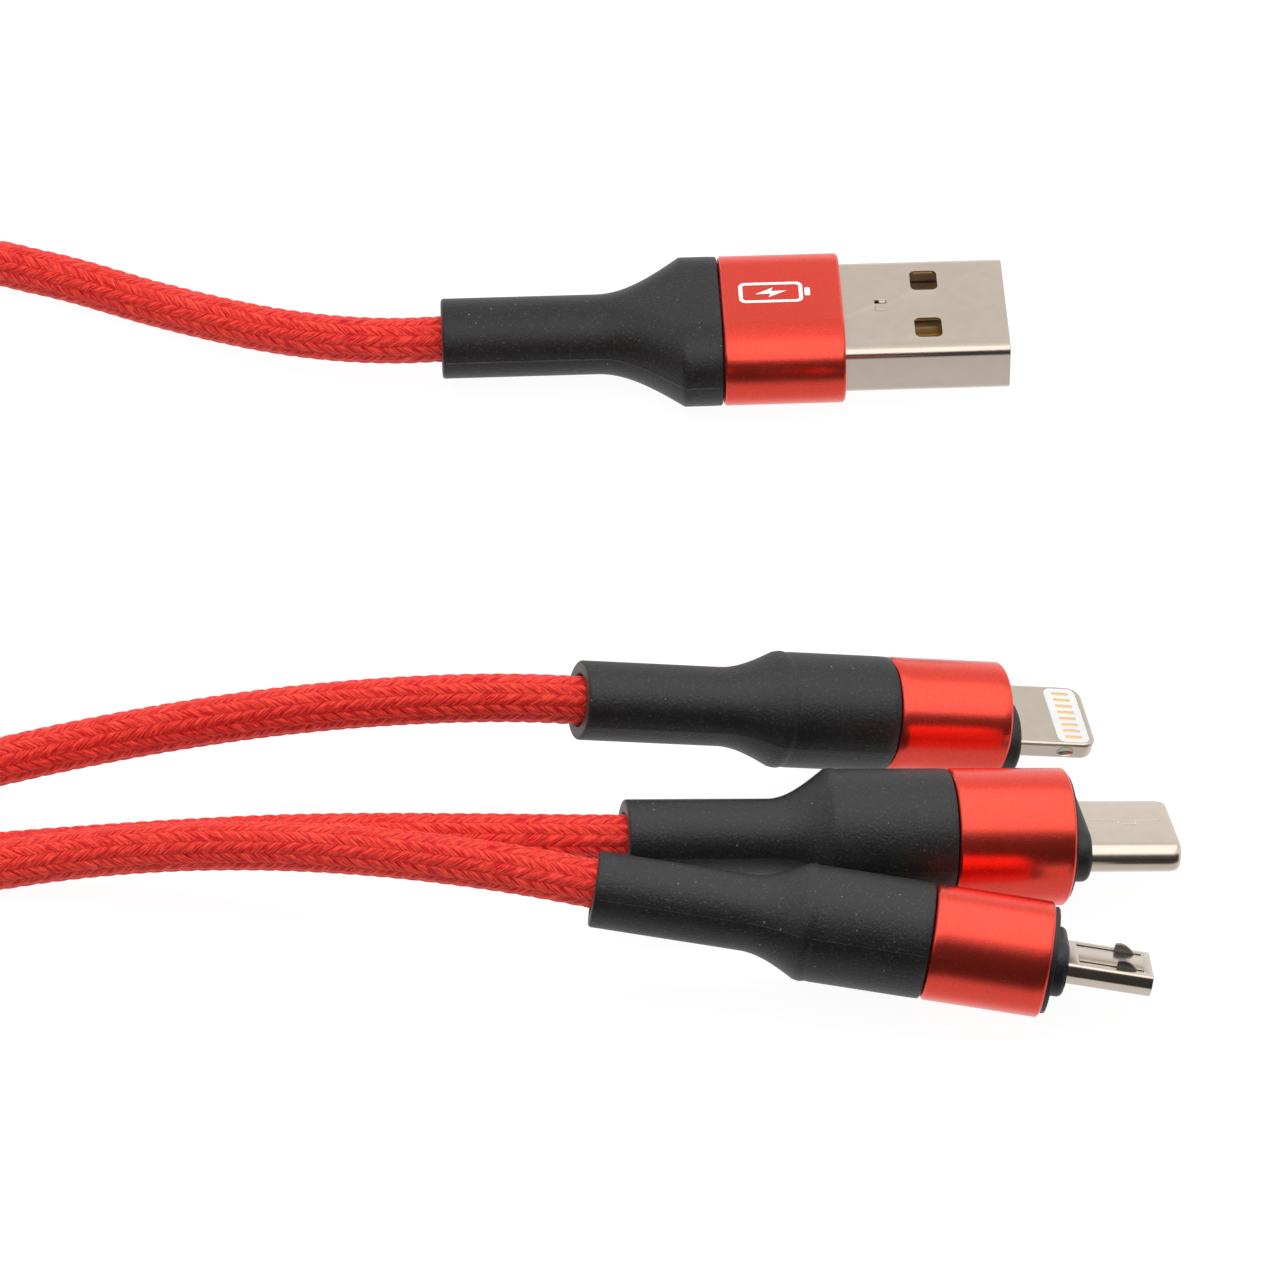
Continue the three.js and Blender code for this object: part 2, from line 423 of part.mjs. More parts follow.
// ---------------------------------------------------------------- micro type-B plug
{
  const g = place(MICRO_AT, MICRO_TURN);
  roundBody(g, "micro", M_SLEEVE_R, M_SLEEVE_L, M_BOOT_L, M_NECK_R, M_NECK_L, M_BODY_L);

  // keystone section: wide face up, the lower corners cut away
  const keystone = (o, Kind = THREE.Shape) => {
    const s = new Kind(), w = M_SHELL_W / 2 - o, b = M_SHELL_BASE_W / 2 - o * 0.6, h = M_SHELL_H / 2 - o, r = Math.max(0.35 - o, 0.1);
    s.moveTo(-b, -h);
    s.lineTo(b, -h);
    s.lineTo(w, -0.1);
    s.absarc(w - r, h - r, r, 0, Math.PI / 2, false);
    s.absarc(-w + r, h - r, r, Math.PI / 2, Math.PI, false);
    s.lineTo(-w, -0.1);
    return s;
  };
  const section = keystone(0);
  section.holes.push(keystone(M_SHELL_WALL, THREE.Path));
  const slots = [-M_HOOK_Y, M_HOOK_Y].map((y) => box(2.2, 7.25, y - M_SLOT_W / 2, y + M_SLOT_W / 2, 0.4, 2));
  add(g, "micro_shell", cut(alongX(section, -M_SHELL_IN, M_SHELL_OUT, 3), ...slots), NICKEL);

  // insulator: a block at the back and a blade that carries the contacts
  add(
    g,
    "micro_insulator",
    join(box(-M_SHELL_IN, -1.4, -2.2, 2.2, -0.58, 0.58), box(-2, 7.0, -1.75, 1.75, -0.58, -0.22)),
    INNER,
  );
  for (let i = 0; i < M_PINS; i++) {
    const y = (i - (M_PINS - 1) / 2) * M_PIN_PITCH;
    add(g, "micro_contact_" + (i + 1), box(-1.2, 6.4, y - M_PIN_W / 2, y + M_PIN_W / 2, -0.15, -0.03), GOLD);
  }

  // two spring hooks: an arm under the wide face and a fin that stands out of its slot
  for (const [name, side] of [["micro_latch_left", 1], ["micro_latch_right", -1]]) {
    const y = side * M_HOOK_Y, fin = new THREE.Shape();
    fin.moveTo(5.1, 0.35);
    fin.lineTo(6.98, 0.35);
    fin.lineTo(6.98, 0.85);
    fin.lineTo(6.55, 1.25);
    fin.lineTo(6.05, 1.52);
    fin.lineTo(5.5, 1.65);
    fin.lineTo(5.2, 1.6);
    fin.lineTo(5.1, 1.2);
    const blade = new THREE.ExtrudeGeometry(fin, { depth: 0.4, bevelEnabled: false }).rotateX(Math.PI / 2).translate(0, y + 0.2, 0);
    add(g, name, join(box(-1.0, 6.98, y - 0.2, y + 0.2, 0.3, 0.52), blade), SPRING);
  }

  add(
    g,
    "micro_nose",
    cut(
      join(
        turned([[-3, 0], [-3, M_SLEEVE_R - 0.55 - FIT], [0.05, M_SLEEVE_R - 0.55 - FIT], [0.05, 4.05], [0.3, 4.05], [0.4, 3.9], [0.4, 0]]),
        alongX(roundRect(M_NOSE_W, M_NOSE_H, 1.7), -0.5, M_NOSE_L, 5),
      ),
      alongX(keystone(-FIT), -5, 5, 3),
    ),
    INNER,
  );
}

// ---------------------------------------------------------------- splitter
{
  const g = place([S_MOUTH_X, S_AXIS_Y, S_AXIS_Z], { yaw: 0, pitch: 0, roll: 0 });
  const back = -S_SLEEVE_L, iw = S_SLEEVE_W - 2 * S_WALL, ih = S_SLEEVE_H - 2 * S_WALL;
  const tube = stadium(S_SLEEVE_W, S_SLEEVE_H);
  tube.holes.push(stadium(iw, ih, THREE.Path));
  add(g, "splitter_sleeve", alongX(tube, back, 0, 8), RED_METAL);

  // joint where the main cord's wires divide
  add(g, "splitter_core", box(back + 1, -3, -5, 5, -2.4, 2.4), INNER);

  // inlet boot on the main cord
  const front = back - FIT, rear = front - S_BOOT_L, flare0 = rear + 8, flare1 = front - 2.5;
  const sections = [[rear, S_NECK_D - 0.7, S_NECK_D - 0.7], [rear + 0.35, S_NECK_D, S_NECK_D]];
  for (let i = 0; i <= 5; i++) {
    const t = i / 5, s = t * t * (3 - 2 * t);
    sections.push([flare0 + (flare1 - flare0) * t, S_NECK_D + (S_SLEEVE_W - S_NECK_D) * s, S_NECK_D + (S_SLEEVE_H - S_NECK_D) * s]);
  }
  sections.push([front, S_SLEEVE_W, S_SLEEVE_H]);
  add(g, "splitter_inlet_boot", loft(sections), RUBBER);

  // outlet end: a plug in the sleeve's mouth with a short collar round each branch cord
  const collars = [-1, 0, 1].map((k) =>
    turned([[1, 0], [1, S_OUTLET_D / 2], [3.2, S_OUTLET_D / 2], [3.5, S_OUTLET_D / 2 - 0.3], [3.5, 0]], 20).translate(0, k * S_OUTLET_PITCH, 0),
  );
  add(
    g,
    "splitter_outlet_cap",
    join(
      alongX(stadium(iw - 2 * FIT, ih - 2 * FIT), -2.5, 0.3, 6),
      alongX(stadium(S_SLEEVE_W - 0.3, S_SLEEVE_H - 0.3), 0.1, 1.6, 6),
      ...collars,
    ),
    RUBBER,
  );
}

// ---------------------------------------------------------------- cords
add(root, "main_cord", cordTube(MAIN_ROUTE, 0, -CORD_FIT, 22), NYLON);
add(root, "eight_pin_cord", cordTube(EIGHT_ROUTE, 0, null, 16), NYLON);
add(root, "type_c_cord", cordTube(TYPE_C_ROUTE, 0, null, 16), NYLON);
add(root, "micro_cord", cordTube(MICRO_ROUTE, 0, null, 16), NYLON);

// the coil's outer shape, with the stretch where the cord runs into it and the one where it leaves
{
  const r0 = COIL_R - (COIL_ACROSS * CORD_D) / 2, r1 = COIL_R + (COIL_ACROSS * CORD_D) / 2;
  const z0 = COIL_BASE, z1 = COIL_BASE + COIL_HIGH * CORD_D, c = 1.0;
  const ring = new THREE.LatheGeometry(
    [[r0 + c, z0], [r1 - c, z0], [r1, z0 + c], [r1, z1 - c], [r1 - c, z1], [r0 + c, z1], [r0, z1 - c], [r0, z0 + c], [r0 + c, z0]].map(
      ([r, z]) => new THREE.Vector2(r, z),
    ),
    36,
  )
    .rotateX(Math.PI / 2)
    .translate(COIL_X, COIL_Y, 0);
  const end = MAIN_ROUTE[MAIN_ROUTE.length - 1];
  const entry = cordTube([end, [COIL_X + 7, end[1], end[2]], [COIL_X, end[1], end[2]]], 0, null, 3);
  add(root, "main_cord_coil", join(ring, entry, cordTube(TAIL_ROUTE, 0, 14.6, 3)), NYLON);
  add(root, "main_cord_tail", cordTube(TAIL_ROUTE, 14.6 + CORD_FIT, null, 12), NYLON);

  // strap round the coil's section
  const middle = COIL_Y - COIL_R, inner = new THREE.Path();
  const outer = roundRect(COIL_ACROSS * CORD_D + 2.6, z1 - z0 + 0.6 + 2 * TIE_T, 1.2);
  outer.holes.push(roundRect(COIL_ACROSS * CORD_D + 2.6 - 2 * TIE_T, z1 - z0 + 0.6, 0.7, THREE.Path));
  add(
    root,
    "coil_tie",
    alongX(outer, COIL_X - TIE_L / 2, COIL_X + TIE_L / 2, 3).translate(0, middle + 0.35, (z0 + z1) / 2),
    STRAP,
  );
}

root.position.set(-ORIGIN[0], -ORIGIN[1], 0);
export default root;
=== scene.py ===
# Looks of a three-in-one charging cable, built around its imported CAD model.
import math

import bmesh
import bpy
import numpy as np
from mathutils import Matrix, Vector


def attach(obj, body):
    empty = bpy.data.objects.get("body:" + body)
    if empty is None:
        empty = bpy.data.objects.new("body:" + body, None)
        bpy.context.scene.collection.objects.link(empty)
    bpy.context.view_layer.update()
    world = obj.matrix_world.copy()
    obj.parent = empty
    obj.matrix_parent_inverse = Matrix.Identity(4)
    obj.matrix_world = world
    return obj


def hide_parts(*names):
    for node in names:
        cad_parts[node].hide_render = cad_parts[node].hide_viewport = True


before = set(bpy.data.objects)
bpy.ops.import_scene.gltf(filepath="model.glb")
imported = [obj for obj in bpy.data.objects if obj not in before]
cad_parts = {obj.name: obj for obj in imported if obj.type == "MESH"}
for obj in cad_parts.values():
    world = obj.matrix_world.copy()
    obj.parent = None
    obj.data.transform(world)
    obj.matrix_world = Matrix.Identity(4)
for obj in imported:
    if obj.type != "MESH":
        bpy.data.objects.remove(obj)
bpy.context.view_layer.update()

MM = 0.001
ROOT = "cable"

# ------------------------------------------------------------ layout, in mm, as in the CAD
ORIGIN = np.array([-46.66, -3.47, 0.0])
CORD_D = 3.6
EIGHT_AXIS, TYPE_C_AXIS, MICRO_AXIS = (9.2, 13.4, 2.9), (5.05, 6.41, -10.8), (-6.5, 8.5, -26.8)
TYPE_A_AT, EIGHT_AT, TYPE_C_AT, MICRO_AT = (17.9, 33.8, 3.85), (26.79, -15.77, 4.4), (30.89, -30.54, 5.25), (28.6, -43.78, 4.78)
SPLIT_AT = (-93.5, -26.0, 4.0)
COIL_X, COIL_Y, COIL_R = -126.0, 19.2, 19.4

MAIN_ROUTE = [
    (-14.93, 33.81, 3.81), (-17.55, 33.83, 3.74), (-20.09, 34.12, 3.62), (-22.57, 34.66, 3.44),
    (-25.00, 35.40, 3.23), (-27.38, 36.32, 2.99), (-29.72, 37.38, 2.74), (-32.03, 38.55, 2.50),
    (-34.33, 39.79, 2.26), (-36.62, 41.07, 2.05), (-38.90, 42.35, 1.88), (-41.20, 43.61, 1.83),
    (-43.51, 44.80, 1.83), (-45.84, 45.90, 1.83), (-48.21, 46.86, 1.83), (-50.63, 47.66, 2.00),
    (-54.55, 48.60, 1.83), (-58.51, 49.18, 1.83), (-62.50, 49.45, 1.85), (-66.53, 49.45, 1.86),
    (-70.57, 49.22, 1.89), (-74.64, 48.81, 1.93), (-78.72, 48.26, 1.97), (-82.81, 47.62, 2.02),
    (-86.91, 46.92, 2.08), (-91.02, 46.20, 2.15), (-95.13, 45.53, 2.22), (-99.24, 44.92, 2.31),
    (-103.34, 44.44, 2.40), (-107.43, 44.12, 2.49), (-111.50, 44.00, 2.60),
]
TAIL_ROUTE = [
    (-150.80, 19.20, 6.20), (-150.80, 15.03, 6.15), (-150.80, 10.86, 6.03), (-150.80, 6.69, 5.83),
    (-150.80, 2.51, 5.59), (-150.80, -1.66, 5.33), (-150.80, -5.83, 5.04), (-150.80, -10.00, 4.76),
    (-150.49, -13.12, 4.56), (-149.58, -16.12, 4.38), (-148.10, -18.89, 4.23), (-146.11, -21.31, 4.11),
    (-143.69, -23.30, 4.03), (-140.92, -24.78, 4.00), (-137.92, -25.69, 4.00), (-134.80, -26.00, 4.00),
    (-133.50, -26.00, 4.00),
]
EIGHT_ROUTE = [
    (-5.94, -21.08, 12.28), (-8.89, -21.49, 12.92), (-11.87, -21.61, 13.20), (-14.87, -21.50, 13.17),
    (-17.87, -21.21, 12.88), (-20.87, -20.78, 12.39), (-23.85, -20.26, 11.75), (-26.80, -19.70, 11.00),
    (-29.72, -19.14, 10.18), (-32.62, -18.61, 9.31), (-35.50, -18.14, 8.43), (-38.39, -17.74, 7.56),
    (-41.29, -17.46, 6.72), (-44.20, -17.31, 5.95), (-47.15, -17.33, 5.26), (-50.14, -17.55, 4.68),
    (-53.69, -17.95, 4.16), (-57.25, -18.39, 3.81), (-60.83, -18.85, 3.60), (-64.42, -19.32, 3.50),
    (-68.02, -19.77, 3.49), (-71.62, -20.20, 3.54), (-75.24, -20.59, 3.64), (-78.85, -20.92, 3.76),
    (-82.47, -21.18, 3.88), (-86.08, -21.34, 3.97), (-89.70, -21.40, 4.00),
]
TYPE_C_ROUTE = [
    (-3.01, -33.55, 9.08), (-6.21, -33.73, 9.39), (-9.41, -33.63, 9.47), (-12.59, -33.30, 9.36),
    (-15.77, -32.80, 9.07), (-18.92, -32.16, 8.66), (-22.07, -31.45, 8.15), (-25.19, -30.71, 7.57),
    (-28.30, -29.98, 6.95), (-31.39, -29.29, 6.31), (-34.48, -28.65, 5.66), (-37.58, -28.06, 5.03),
    (-40.69, -27.54, 4.42), (-43.82, -27.10, 3.86), (-46.98, -26.73, 3.35), (-50.18, -26.46, 2.90),
    (-53.75, -26.25, 2.56), (-57.32, -26.10, 2.40), (-60.91, -25.99, 2.40), (-64.50, -25.93, 2.51),
    (-68.09, -25.90, 2.72), (-71.69, -25.90, 2.98), (-75.30, -25.91, 3.26), (-78.90, -25.94, 3.54),
    (-82.50, -25.97, 3.77), (-86.10, -25.99, 3.94), (-89.70, -26.00, 4.00),
]
MICRO_ROUTE = [
    (-5.55, -39.66, 10.23), (-8.46, -39.08, 10.57), (-11.37, -38.43, 10.78), (-14.29, -37.74, 10.87),
    (-17.20, -37.02, 10.85), (-20.12, -36.29, 10.75), (-23.05, -35.57, 10.56), (-25.99, -34.88, 10.31),
    (-28.94, -34.24, 10.01), (-31.91, -33.67, 9.67), (-34.88, -33.18, 9.31), (-37.87, -32.80, 8.93),
    (-40.88, -32.54, 8.55), (-43.90, -32.42, 8.18), (-46.95, -32.47, 7.84), (-50.01, -32.69, 7.54),
    (-53.60, -32.95, 7.18), (-57.20, -33.01, 6.79), (-60.80, -32.90, 6.37), (-64.40, -32.67, 5.95),
    (-68.00, -32.34, 5.53), (-71.61, -31.96, 5.12), (-75.22, -31.57, 4.76), (-78.84, -31.20, 4.45),
    (-82.45, -30.89, 4.21), (-86.08, -30.68, 4.05), (-89.70, -30.60, 4.00),
]


def turn(yaw, pitch, roll):
    r = math.radians
    return Matrix.Rotation(r(yaw), 4, "Z") @ Matrix.Rotation(r(pitch), 4, "Y") @ Matrix.Rotation(r(roll), 4, "X")


def placed(at, axis=(0, 0, 0)):
    """The matrix that takes a plug's own millimetres to the row frame's metres."""
    where = Vector([at[i] - ORIGIN[i] for i in range(3)])
    return Matrix.Scale(MM, 4) @ Matrix.Translation(where) @ turn(*axis)


A_FRAME, E_FRAME = placed(TYPE_A_AT), placed(EIGHT_AT, EIGHT_AXIS)
C_FRAME, M_FRAME = placed(TYPE_C_AT, TYPE_C_AXIS), placed(MICRO_AT, MICRO_AXIS)
S_FRAME, WORLD_FRAME = placed(SPLIT_AT), placed((0, 0, 0))

# ------------------------------------------------------------ camera
eye = (Vector((-25.838, -568.151, 488.914)) - Vector(ORIGIN)) * MM
target = -Vector(ORIGIN) * MM
cam_data = bpy.data.cameras.new("camera")
cam_data.sensor_fit = "HORIZONTAL"
cam_data.sensor_width = 36.0
cam_data.lens = 9500.457 / 1280 * 36.0
cam_data.clip_start, cam_data.clip_end = 0.01, 50.0
cam = bpy.data.objects.new("camera", cam_data)
cam.location = eye
cam.rotation_euler = (target - eye).to_track_quat("-Z", "Y").to_euler()
bpy.context.scene.collection.objects.link(cam)
bpy.context.scene.camera = cam
bpy.context.scene.view_settings.view_transform = "Standard"

# ------------------------------------------------------------ material nodes
class Nodes:
    """A short way to wire a material."""

    def __init__(self, name):
        self.mat = bpy.data.materials.new(name)
        self.mat.use_nodes = True
        self.tree = self.mat.node_tree
        self.tree.nodes.clear()
        self.out = self.tree.nodes.new("ShaderNodeOutputMaterial")
        self.bsdf = self.tree.nodes.new("ShaderNodeBsdfPrincipled")
        self.tree.links.new(self.bsdf.outputs[0], self.out.inputs[0])

    def put(self, node, socket, value):
        target = node.inputs[socket]
        if isinstance(value, bpy.types.NodeSocket):
            self.tree.links.new(value, target)
        else:
            target.default_value = value

    def math(self, op, a, b=None, c=None, clamp=False):
        n = self.tree.nodes.new("ShaderNodeMath")
        n.operation, n.use_clamp = op, clamp
        for i, v in enumerate((a, b, c)):
            if v is not None:
                self.put(n, i, v)
        return n.outputs[0]

    def coords(self):
        return self.tree.nodes.new("ShaderNodeTexCoord").outputs["Object"]

    def noise(self, vector, scale, detail=2.0, rough=0.5, distortion=0.0):
        n = self.tree.nodes.new("ShaderNodeTexNoise")
        self.put(n, "Vector", vector)
        n.inputs["Scale"].default_value = scale
        n.inputs["Detail"].default_value = detail
        n.inputs["Roughness"].default_value = rough
        n.inputs["Distortion"].default_value = distortion
        return n.outputs["Fac"]

    def voronoi(self, vector, scale, feature="F1"):
        n = self.tree.nodes.new("ShaderNodeTexVoronoi")
        n.feature = feature
        self.put(n, "Vector", vector)
        n.inputs["Scale"].default_value = scale
        return n.outputs["Distance"]

    def stretch(self, vector, scale):
        n = self.tree.nodes.new("ShaderNodeVectorMath")
        n.operation = "MULTIPLY"
        self.put(n, 0, vector)
        n.inputs[1].default_value = scale
        return n.outputs[0]

    def ramp(self, fac, stops, smooth=True):
        n = self.tree.nodes.new("ShaderNodeValToRGB")
        n.color_ramp.interpolation = "EASE" if smooth else "LINEAR"
        e = n.color_ramp.elements
        while len(e) < len(stops):
            e.new(0.5)
        for el, (pos, col) in zip(e, stops):
            el.position = pos
            el.color = (*col, 1) if isinstance(col, (tuple, list)) else (col, col, col, 1)
        self.put(n, 0, fac)
        return n.outputs[0]

    def mix(self, fac, a, b):
        n = self.tree.nodes.new("ShaderNodeMix")
        n.data_type = "RGBA"
        self.put(n, 0, fac)
        for i, v in ((6, a), (7, b)):
            self.put(n, i, (*v, 1) if isinstance(v, tuple) else v)
        return n.outputs[2]

    def bump(self, height, distance, strength=1.0, after=None):
        n = self.tree.nodes.new("ShaderNodeBump")
        n.inputs["Strength"].default_value = strength
        n.inputs["Distance"].default_value = distance
        self.put(n, "Height", height)
        if after is not None:
            self.put(n, "Normal", after)
        return n.outputs[0]

    def set(self, **values):
        for k, v in values.items():
            key = {"base": "Base Color", "rough": "Roughness", "metal": "Metallic", "normal": "Normal", "coat": "Coat Weight",
                   "coat_rough": "Coat Roughness", "coat_ior": "Coat IOR", "ior": "IOR", "spec": "Specular IOR Level",
                   "sheen": "Sheen Weight", "sheen_rough": "Sheen Roughness", "sheen_tint": "Sheen Tint", "spec_tint": "Specular Tint"}[k]
            if isinstance(v, tuple) and len(v) == 3:
                v = (*v, 1)
            self.put(self.bsdf, key, v)
        return self.mat


def metal(name, colour, rough, grain=0.04, scratches=0.4, spread=0.012):
    """Plated steel: a faint brushed grain, cloudy roughness, a few hair scratches."""
    m = Nodes(name)
    at = m.coords()
    cloud = m.noise(at, 900, 3)
    brushed = m.noise(m.stretch(at, (500, 9000, 9000)), 1, 2)
    hair = m.noise(m.stretch(at, (260, 6000, 3000)), 1, 1, distortion=0.6)
    line = m.ramp(hair, [(0.66, 0.0), (0.72, 1.0)])
    dark = tuple(c * (1 - 2.2 * spread) for c in colour)
    light = tuple(min(1, c * (1 + spread)) for c in colour)
    base = m.mix(m.ramp(cloud, [(0.3, 0.0), (0.7, 1.0)]), dark, light)
    r = m.math("ADD", m.math("MULTIPLY", cloud, 0.05), rough - 0.025)
    r = m.math("ADD", r, m.math("MULTIPLY", line, 0.06 * scratches))
    height = m.math("ADD", m.math("MULTIPLY", brushed, grain), m.math("MULTIPLY", line, -0.25 * scratches * grain))
    return m.set(base=base, metal=1.0, rough=r, normal=m.bump(height, 2.0e-5, 0.5))


def anodised(name):
    """Bead-blasted red anodised aluminium: satin, with a fine sparkling grain."""
    m = Nodes(name)
    at = m.coords()
    fine = m.noise(at, 7000, 2, 0.6)
    coarse = m.noise(at, 1500, 3)
    grain = m.voronoi(at, 9000)
    base = m.mix(m.ramp(fine, [(0.3, 0.0), (0.7, 1.0)]), (0.83, 0.062, 0.040), (0.93, 0.082, 0.052))
    r = m.math("ADD", m.math("MULTIPLY", coarse, 0.06), 0.235)
    height = m.math("ADD", m.math("MULTIPLY", fine, 1.0), m.math("MULTIPLY", grain, 0.6))
    return m.set(base=base, metal=0.93, rough=r, normal=m.bump(height, 4.5e-6, 0.6), coat=0.22, coat_rough=0.18, coat_ior=1.5, ior=1.2)


def rubber(name, base=(0.0031, 0.0030, 0.0030), specks=1.0):
    """Matte moulded rubber: fine spark-eroded texture, cloudy sheen and specks of dust."""
    m = Nodes(name)
    at = m.coords()
    fine = m.noise(at, 5200, 3, 0.6)
    cloud = m.noise(at, 420, 4, 0.6)
    cell = m.voronoi(at, 1050)
    big = m.noise(at, 330, 2)
    dot = m.math("MULTIPLY", m.ramp(cell, [(0.0, 1.0), (0.11, 0.0)]), m.ramp(big, [(0.46, 0.0), (0.60, 1.0)]))
    dust = m.ramp(m.noise(at, 5600, 2), [(0.58, 0.0), (0.70, 1.0)])
    tone = m.mix(m.ramp(cloud, [(0.35, 0.0), (0.75, 1.0)]), base, tuple(c * 1.9 for c in base))
    tone = m.mix(m.math("MULTIPLY", dust, 0.20 * specks), tone, (0.13, 0.125, 0.12))
    tone = m.mix(m.math("MULTIPLY", dot, 0.75 * specks), tone, (0.30, 0.29, 0.27))
    r = m.math("ADD", m.math("MULTIPLY", cloud, 0.12), 0.40)
    height = m.math("ADD", fine, m.math("MULTIPLY", dot, 0.8))
    return m.set(base=tone, rough=r, normal=m.bump(height, 5.0e-5, 0.9), ior=1.54)


def plastic(name, base, rough=0.45, vary=0.25, bump=6e-6):
    m = Nodes(name)
    at = m.coords()
    fine = m.noise(at, 4200, 3)
    tone = m.mix(m.ramp(m.noise(at, 700, 3), [(0.3, 0.0), (0.7, 1.0)]), tuple(c * (1 - vary) for c in base), tuple(min(1, c * (1 + vary)) for c in base))
    r = m.math("ADD", m.math("MULTIPLY", fine, 0.12), rough - 0.06)
    return m.set(base=tone, rough=r, normal=m.bump(fine, bump, 0.5))


def braid(name):
    """Braided nylon: the UV holds the column round the cord and the pitch along it, so each strand's fibres lie along it."""
    m = Nodes(name)
    uv = m.tree.nodes.new("ShaderNodeUVMap")
    uv.uv_map = "braid"
    sep = m.tree.nodes.new("ShaderNodeSeparateXYZ")
    m.put(sep, 0, uv.outputs[0])
    c, s = sep.outputs[0], sep.outputs[1]
    c1 = m.math("ADD", c, 0.25)
    col = m.math("FLOOR", c1)
    side = m.math("SUBTRACT", m.math("MULTIPLY", m.math("MODULO", col, 2.0), 2.0), 1.0)
    u = m.math("SUBTRACT", c1, col)
    t = m.math("ADD", c, m.math("MULTIPLY", side, s))
    along = m.math("SUBTRACT", c, m.math("MULTIPLY", side, s))
    d = m.math("MULTIPLY", m.math("ABSOLUTE", m.math("SUBTRACT", m.math("FRACT", m.math("ADD", t, 0.5)), 0.5)), 2.0)
    end = m.math("MULTIPLY", m.math("ABSOLUTE", m.math("SUBTRACT", u, 0.5)), 2.0)
    fibre_at = m.tree.nodes.new("ShaderNodeCombineXYZ")
    m.put(fibre_at, 0, m.math("MULTIPLY", t, 11.0))
    m.put(fibre_at, 1, m.math("MULTIPLY", along, 0.9))
    m.put(fibre_at, 2, m.math("MULTIPLY", col, 3.7))
    fibre = m.noise(fibre_at.outputs[0], 1.0, 2.5, 0.65)
    ply_at = m.tree.nodes.new("ShaderNodeCombineXYZ")
    m.put(ply_at, 0, m.math("MULTIPLY", t, 3.1))
    m.put(ply_at, 1, m.math("MULTIPLY", along, 0.35))
    m.put(ply_at, 2, m.math("MULTIPLY", col, 1.3))
    ply = m.noise(ply_at.outputs[0], 1.0, 1.0)
    # painted shade: a mask that is high in the gaps between strands and at each column's ends, where the braid's relief
    # dips
    strand_gap_shade = m.math("MAXIMUM", m.ramp(d, [(0.70, 0.0), (1.0, 1.0)]), m.ramp(end, [(0.80, 0.0), (1.0, 0.75)]))
    tone = m.mix(m.ramp(fibre, [(0.36, 0.0), (0.62, 1.0)]), (0.55, 0.004, 0.012), (1.0, 0.088, 0.056))
    tone = m.mix(m.math("MULTIPLY", m.ramp(ply, [(0.35, 1.0), (0.65, 0.0)]), 0.25), tone, (0.46, 0.002, 0.010))
    # the painted shade in the strand gaps darkens the tone there
    tone = m.mix(m.math("MULTIPLY", strand_gap_shade, 0.52), tone, (0.22, 0.001, 0.006))
    height = m.math("ADD", fibre, m.math("MULTIPLY", ply, 0.5))
    r = m.math("ADD", m.math("MULTIPLY", fibre, 0.22), 0.34)
    return m.set(base=tone, rough=r, normal=m.bump(height, 6.0e-5, 1.0), ior=1.46, spec_tint=(1.0, 0.22, 0.14), sheen=0.12, sheen_rough=0.35, sheen_tint=(1.0, 0.12, 0.08))


def strap_cloth(name):
    m = Nodes(name)
    at = m.coords()
    loops = m.voronoi(at, 2600)
    fine = m.noise(at, 5200, 3, 0.7)
    tone = m.mix(m.ramp(loops, [(0.1, 1.0), (0.6, 0.0)]), (0.012, 0.012, 0.013), (0.035, 0.035, 0.037))
    height = m.math("ADD", loops, m.math("MULTIPLY", fine, 0.6))
    return m.set(base=tone, rough=m.math("ADD", m.math("MULTIPLY", fine, 0.1), 0.80), normal=m.bump(height, 6e-5, 0.9), sheen=0.3, sheen_rough=0.5)


MAT = {
    "nickel": metal("nickel", (0.70, 0.605, 0.51), 0.23),
    "nickel_side": metal("champagne_nickel", (0.68, 0.59, 0.49), 0.29, grain=0.010, scratches=0.1),
    # a paler, rougher copy of the nickel: a painted highlight for the type-C seam line
    "seam_steel": metal("seam_steel", (0.93, 0.87, 0.79), 0.42),
    "crimp_steel": metal("crimp_steel", (0.60, 0.59, 0.57), 0.35),
    "spring_steel": metal("spring_steel", (0.20, 0.19, 0.185), 0.34, grain=0.10),
    "contact_gold": metal("contact_gold", (0.86, 0.62, 0.26), 0.26),
    "pad_gold": metal("pad_gold", (0.95, 0.70, 0.38), 0.45, grain=0.02),
    "red_anodised": anodised("red_anodised"),
    "boot_rubber": rubber("boot_rubber"),
    "flash_rubber": rubber("flash_rubber", (0.030, 0.029, 0.028), 0.6),
    "neck_face": rubber("neck_face_rubber", (0.045, 0.038, 0.036), 0.5),
    "nose_rubber": rubber("nose_plastic", (0.0045, 0.0045, 0.0048), 0.30),
    "black_plastic": plastic("black_plastic", (0.012, 0.0115, 0.011), 0.42),
    "tongue_plastic": plastic("tongue_plastic", (0.62, 0.43, 0.25), 0.45),
    "white_insert": plastic("white_insert", (0.70, 0.70, 0.70), 0.35, 0.02, 3e-6),
    "white_print": plastic("white_print", (0.83, 0.82, 0.82), 0.5, 0.03, 5e-6),
    "board": plastic("board_green", (0.03, 0.16, 0.09), 0.4, 0.2),
    "strap": strap_cloth("strap_cloth"),
    "nylon_braid": braid("nylon_braid"),
}

